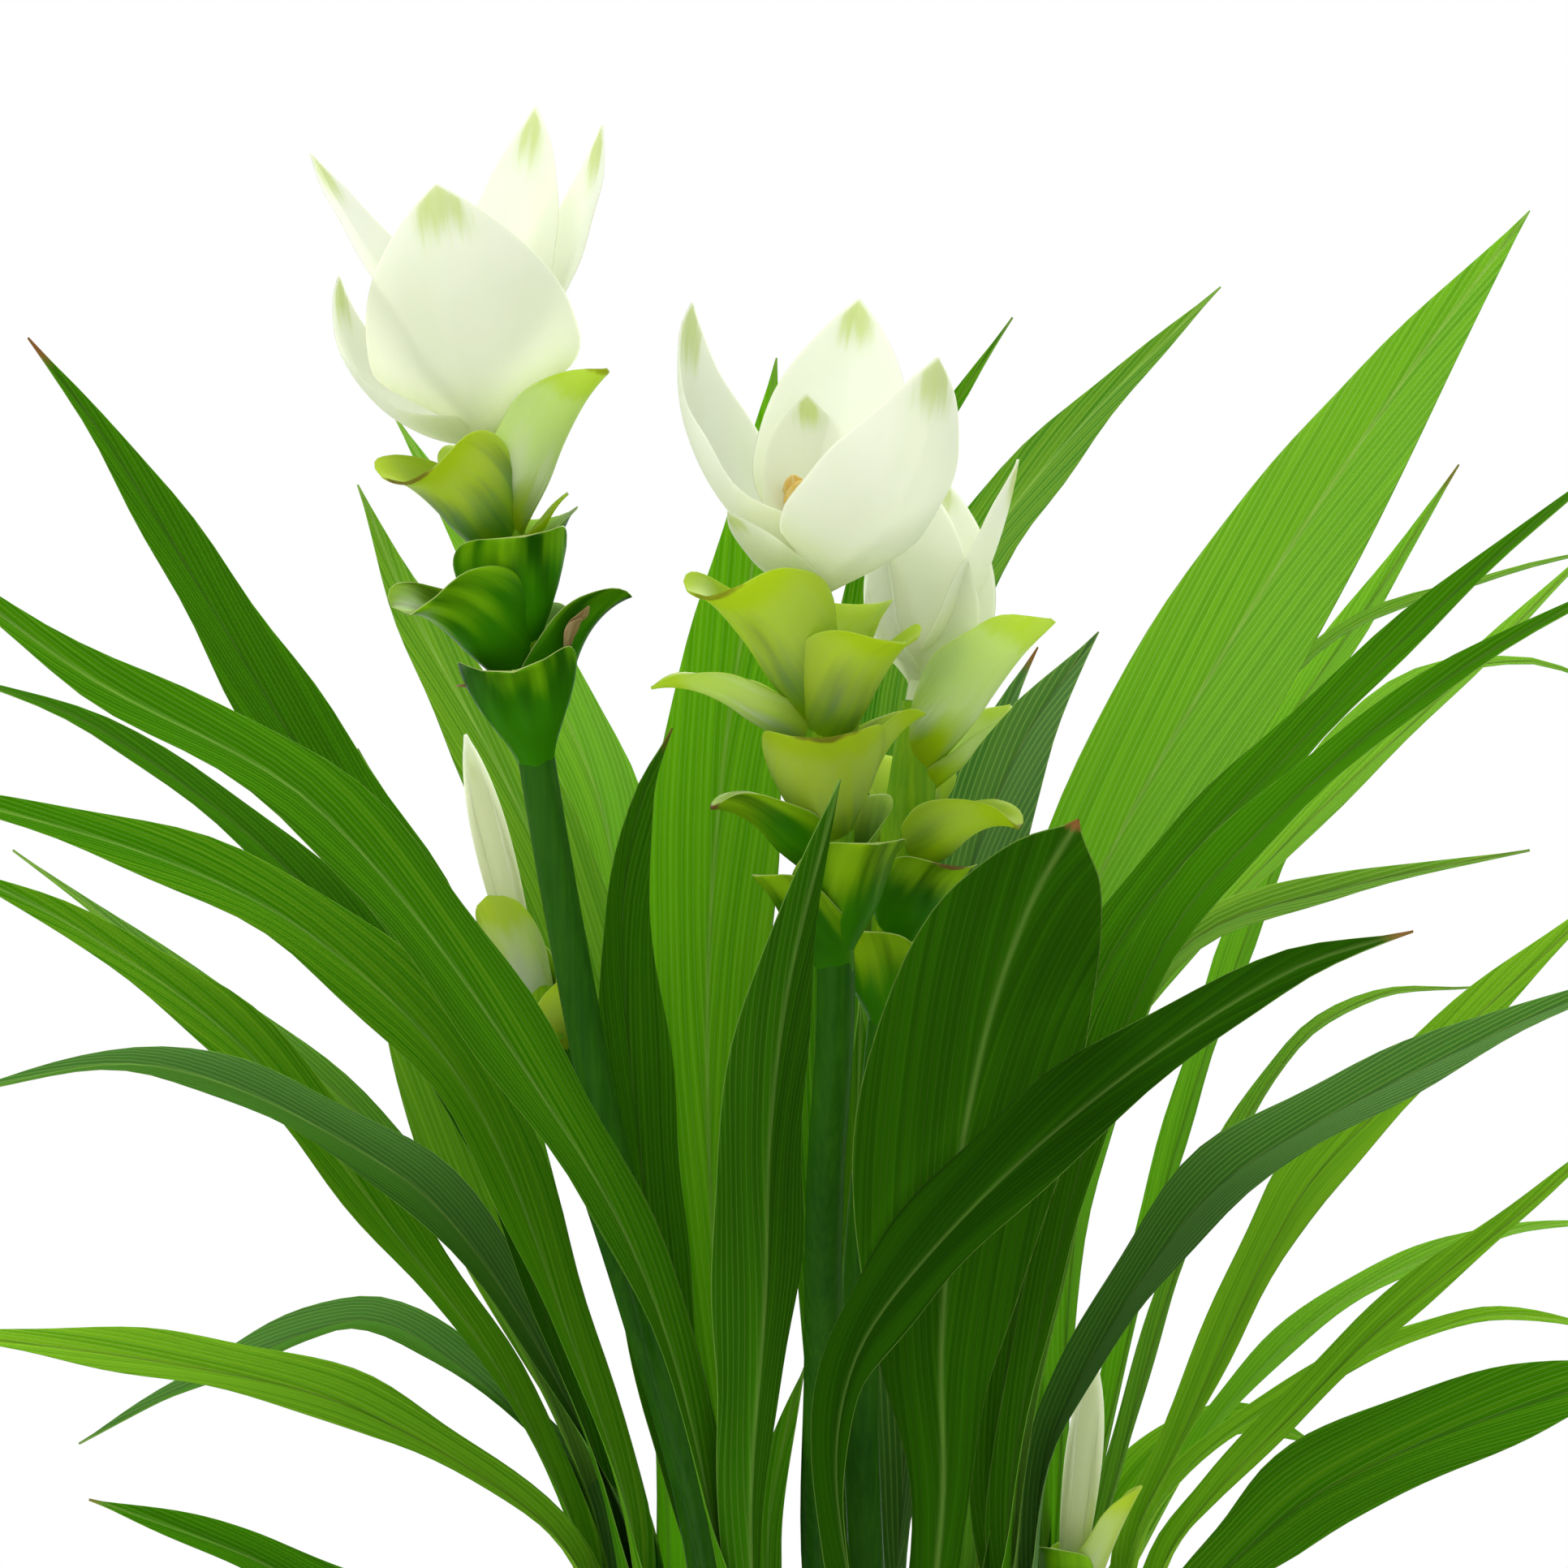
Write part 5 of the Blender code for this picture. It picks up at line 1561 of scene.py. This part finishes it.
def makeCrumbTree():
    m, given = newTree("crumbs", {
        "Density": ("Float", 60000.0),
        "Seed": ("Int", 4),
        "Smallest": ("Float", 0.0006),
        "Largest": ("Float", 0.0021),
        "Lumps": ("Float", 1.2),
        "Rarity": ("Float", 2.5),
        "Material": ("Material", None),
    })
    spread = {"Mesh": given["Geometry"], "Density": given["Density"], "Seed": given["Seed"]}
    spots = m.node("GeometryNodeDistributePointsOnFaces", None, spread)
    crumb = m.node("GeometryNodeMeshIcoSphere", None, {"Radius": 1.0, "Subdivisions": 2})
    position = m.node("GeometryNodeInputPosition")
    lumps = noiseAt(m, position, 1.1, 2.0)
    crumb = m.node("GeometryNodeSetPosition", None, {
        "Geometry": crumb, "Position": position.scaled((lumps - 0.5) * given["Lumps"] + 1),
    })
    turns = m.node("FunctionNodeRandomValue", {"data_type": "FLOAT_VECTOR"}, {
        "Min": (0, 0, 0), "Max": (6.28, 6.28, 6.28), "Seed": given["Seed"],
    })
    width = m.node("FunctionNodeRandomValue", {"data_type": "FLOAT"}, {
        "Min": 0.0, "Max": 1.0, "Seed": given["Seed"] + 1,
    }, "Value")
    width = given["Smallest"] + (given["Largest"] - given["Smallest"]) * width ** given["Rarity"]
    strewn = m.node("GeometryNodeInstanceOnPoints", None, {
        "Points": spots, "Instance": crumb, "Rotation": turns, "Scale": width,
    })
    endTree(m, strewn, given["Material"])
    return m.tree


# Small florets between the bracts: some withered, one still yellow. Each is its tip's place as it
# looks, then its length, its width, its heading round the spike and its lean, in centimetres and degrees
florets = {
    "withered": ("left", [
        ((-5.45, 38.50, 4.0), 0.95, 0.50, 60, 34),
        ((-5.62, 38.30, 4.2), 0.7, 0.40, 50, 30),
        ((-8.05, 36.90, 3.3), 0.9, 0.50, -75, 60),
    ]),
    "yellow": ("right", [
        ((-1.42, 41.10, 6.2), 1.2, 0.6, -10, 12),
        ((-1.26, 41.00, 6.5), 0.9, 0.5, 25, 20),
    ]),
}
floretForm = {
    "leanGrows": 15,
    "crumples": 300,
    "crumple": 0.0008,
    "through": 0.3,
}


def makeFlorets(name, side, plans, material, dice):
    form = floretForm
    lines = []
    spike = [seen(*point) for point in flowers[side]["spike"]]
    up = (spike[1] - spike[0]).normalized()
    for tip, length, width, heading, lean in plans:
        shape = (0, heading, length, width, lean, lean + form["leanGrows"])
        rows = bractRows(spike, shape, bractForms["floret"])
        shift = seen(*tip) - rows[-1]["mid"]
        for row in rows:
            row["mid"] += shift
            row["mid"] += up * noise.noise(row["mid"] * form["crumples"]) * form["crumple"]
        lines.append(painted(rows, (dice.random(), 0.0, form["through"]), dice.random(), 0))
    put(makeBlades(name + "_florets", lines, bladeSizes["floret"], material), "petal_white")


# Each kind of floret's dark and light colour
floretColours = {
    "withered": ((0.30, 0.17, 0.06), (0.60, 0.45, 0.22)),
    "yellow": ((0.85, 0.50, 0.06), (0.92, 0.82, 0.45)),
}
floretPaint = {
    "streaks": (900, 160, 0),
    "rough": 0.6,
    "bump": (1.0, 0.0003),
    "shine": 0.3,
}


def makeFloretPaint(name, dark, light):
    look = {**floretPaint, "glow": light}
    material, m = newPaint(name)
    across, along = bladeChart(m)
    streak = drawnOut(m, across, along, look["streaks"], 3.0, 0.6)
    colour = m.mix(streak.rise(0.3, 0.7), dark, light)
    thinSkin(m, colour, look["rough"] + streak * 0.2, streak, look, streak * 0.3 + 0.15)
    return material


glazeLook = {
    "white": (0.80, 0.80, 0.78),
    "warm": (0.74, 0.73, 0.70),
    "speck": (0.52, 0.50, 0.46),
    "clouds": 22.0,
    "grain": 420.0,
    "specks": 900.0,
    "speckFrom": (0.74, 0.80),
    "speckShare": 0.35,
    "rough": 0.36,
    "bump": (0.5, 0.0005),
    "shine": 0.5,
}


def makeGlaze():
    look = glazeLook
    material, m = newPaint("whiteCeramic")
    spot = objectPlace(m)
    cloud = noiseAt(m, spot, look["clouds"], 3.0)
    fine = noiseAt(m, spot, look["grain"])
    speck = noiseAt(m, spot, look["specks"], 1.0).rise(*look["speckFrom"])
    colour = m.mix(cloud.rise(0.35, 0.7), look["white"], look["warm"])
    colour = m.mix(speck * look["speckShare"], colour, look["speck"])
    rough = look["rough"] + cloud * 0.14 + fine * 0.06
    endPaint(m, skin(m, colour, rough, fine * 0.3 + cloud, look))
    return material


soilLook = {
    "dark": (0.012, 0.008, 0.005),
    "brown": (0.060, 0.036, 0.020),
    "straw": (0.150, 0.100, 0.055),
    "perlite": (0.62, 0.60, 0.56),
    "lumps": 130.0,
    "grain": 900.0,
    "bump": (1.0, 0.0009),
    "shine": 0.25,
}


def makeEarth(name, dark, light, rough):
    look = soilLook
    material, m = newPaint(name)
    spot = objectPlace(m)
    lump = noiseAt(m, spot, look["lumps"], 4.0, 0.7)
    grain = noiseAt(m, spot, look["grain"], 3.0, 0.7)
    colour = m.mix((lump * 0.6 + grain * 0.4).rise(0.35, 0.66), look[dark], look[light])
    endPaint(m, skin(m, colour, rough + grain * 0.1, lump + grain * 0.4, look))
    return material


# Stage: a pale floor that runs to white, a white room and soft lights, most of it from behind
stageForm = {
    "floorRadius": 3.2,
    "floor": (0.82, 0.82, 0.81),
    "floorRough": 0.7,
    "nearFloor": 0.45,
    "farFloor": 0.90,
    "room": (0.93, 0.97, 1.0),
    "roomStrength": 0.72,
    "aim": (0, 0, 0.3),
}

# Each lamp's place in metres, its width, watts and colour
lamps = {
    "backLight": {"place": (0.5, 1.7, 1.35), "size": 1.7, "watts": 38, "colour": (1.0, 1.0, 0.98)},
    "topLight": {"place": (-0.3, 0.1, 1.9), "size": 1.4, "watts": 14, "colour": (1.0, 0.99, 0.97)},
    "frontLight": {"place": (-1.3, -1.5, 1.1), "size": 1.6, "watts": 8, "colour": (0.98, 0.99, 1.0)},
}


def makeStage():
    form = stageForm
    bpy.ops.mesh.primitive_circle_add(vertices=128, radius=form["floorRadius"], fill_type="NGON")
    floor = bpy.context.object
    floor.name = "stage_floor"
    material, m = newPaint("paleFloor")
    spot = objectPlace(m)
    away = m.node("ShaderNodeVectorMath", {"operation": "LENGTH"}, {0: spot}, "Value")
    matt = {"Base Color": shade(form["floor"]), "Roughness": form["floorRough"]}
    plain = m.node("ShaderNodeBsdfPrincipled", None, matt)
    glow = m.node("ShaderNodeEmission", None, {"Color": (1, 1, 1, 1), "Strength": 1.0})
    share = away.rise(form["nearFloor"], form["farFloor"])
    endPaint(m, m.node("ShaderNodeMixShader", None, {0: share, 1: plain, 2: glow}))
    floor.data.materials.append(material)
    world = bpy.data.worlds.new("whiteRoom")
    bpy.context.scene.world = world
    world.use_nodes = True
    world.node_tree.nodes.clear()
    m = Wire(world.node_tree)
    seenStraight = m.node("ShaderNodeLightPath", None, None, "Is Camera Ray")
    around = {"Color": shade(form["room"]), "Strength": form["roomStrength"]}
    room = m.node("ShaderNodeBackground", None, around)
    white = m.node("ShaderNodeBackground", None, {"Color": (1, 1, 1, 1), "Strength": 1.0})
    both = m.node("ShaderNodeMixShader", None, {0: seenStraight, 1: room, 2: white})
    m.tree.links.new(both.socket, m.tree.nodes.new("ShaderNodeOutputWorld").inputs["Surface"])
    aim = Vector(form["aim"])
    for name, lamp in lamps.items():
        light = bpy.data.lights.new(name, "AREA")
        light.shape = "DISK"
        light.size = lamp["size"]
        light.energy = lamp["watts"]
        light.color = lamp["colour"]
        holder = bpy.data.objects.new(name, light)
        holder.location = lamp["place"]
        holder.rotation_euler = (aim - holder.location).to_track_quat("-Z", "Y").to_euler()
        holder.visible_camera = False
        bpy.context.scene.collection.objects.link(holder)
    bpy.context.scene.view_settings.view_transform = "Standard"


def makeCamera():
    lens = bpy.data.cameras.new("photoView")
    lens.sensor_fit = "HORIZONTAL"
    lens.sensor_width = view["sensor"]
    lens.lens = view["sensor"] * -view["eye"].y / view["frameWidth"]
    lens.clip_start = 0.01
    lens.clip_end = 20
    camera = bpy.data.objects.new("photoView", lens)
    camera.location = view["eye"]
    camera.rotation_euler = (math.pi / 2, 0, 0)
    bpy.context.scene.collection.objects.link(camera)
    bpy.context.scene.camera = camera


makeCamera()
makeStage()
print("camera, floor and lights are set")

bladeTree = makeBladeTree()
stemTree = makeStemTree()
crumbTree = makeCrumbTree()
leafSkin = makeLeafPaint()
bractSkin = makeBractPaint()
petalSkin = makePetalPaint()
sheathSkin = makeStemPaint("leafSheath", *stemGreens["leafy"])
stemSkin = makeStemPaint("flowerStem", *stemGreens["flower"])
spikeSkin = makeStemPaint("flowerSpike", *stemGreens["spike"])
potGlaze = makeGlaze()
soilPaint = makeEarth("pottingSoil", "dark", "brown", 0.85)
print("trees and paints are made")

makePot()
makeSoil()
print("pot and soil are made")

dice = random.Random(12)
for shootName, shootPlan in shoots.items():
    makeShoot(shootName, shootPlan, dice)
print("leaves are made")

for flowerSide, flowerPlan in flowers.items():
    makeFlower(flowerSide, flowerPlan, dice)
for floretName, (floretSide, plans) in florets.items():
    floretSkin = makeFloretPaint(floretName + "Floret", *floretColours[floretName])
    makeFlorets(floretName, floretSide, plans, floretSkin, dice)
print("flowers are made")
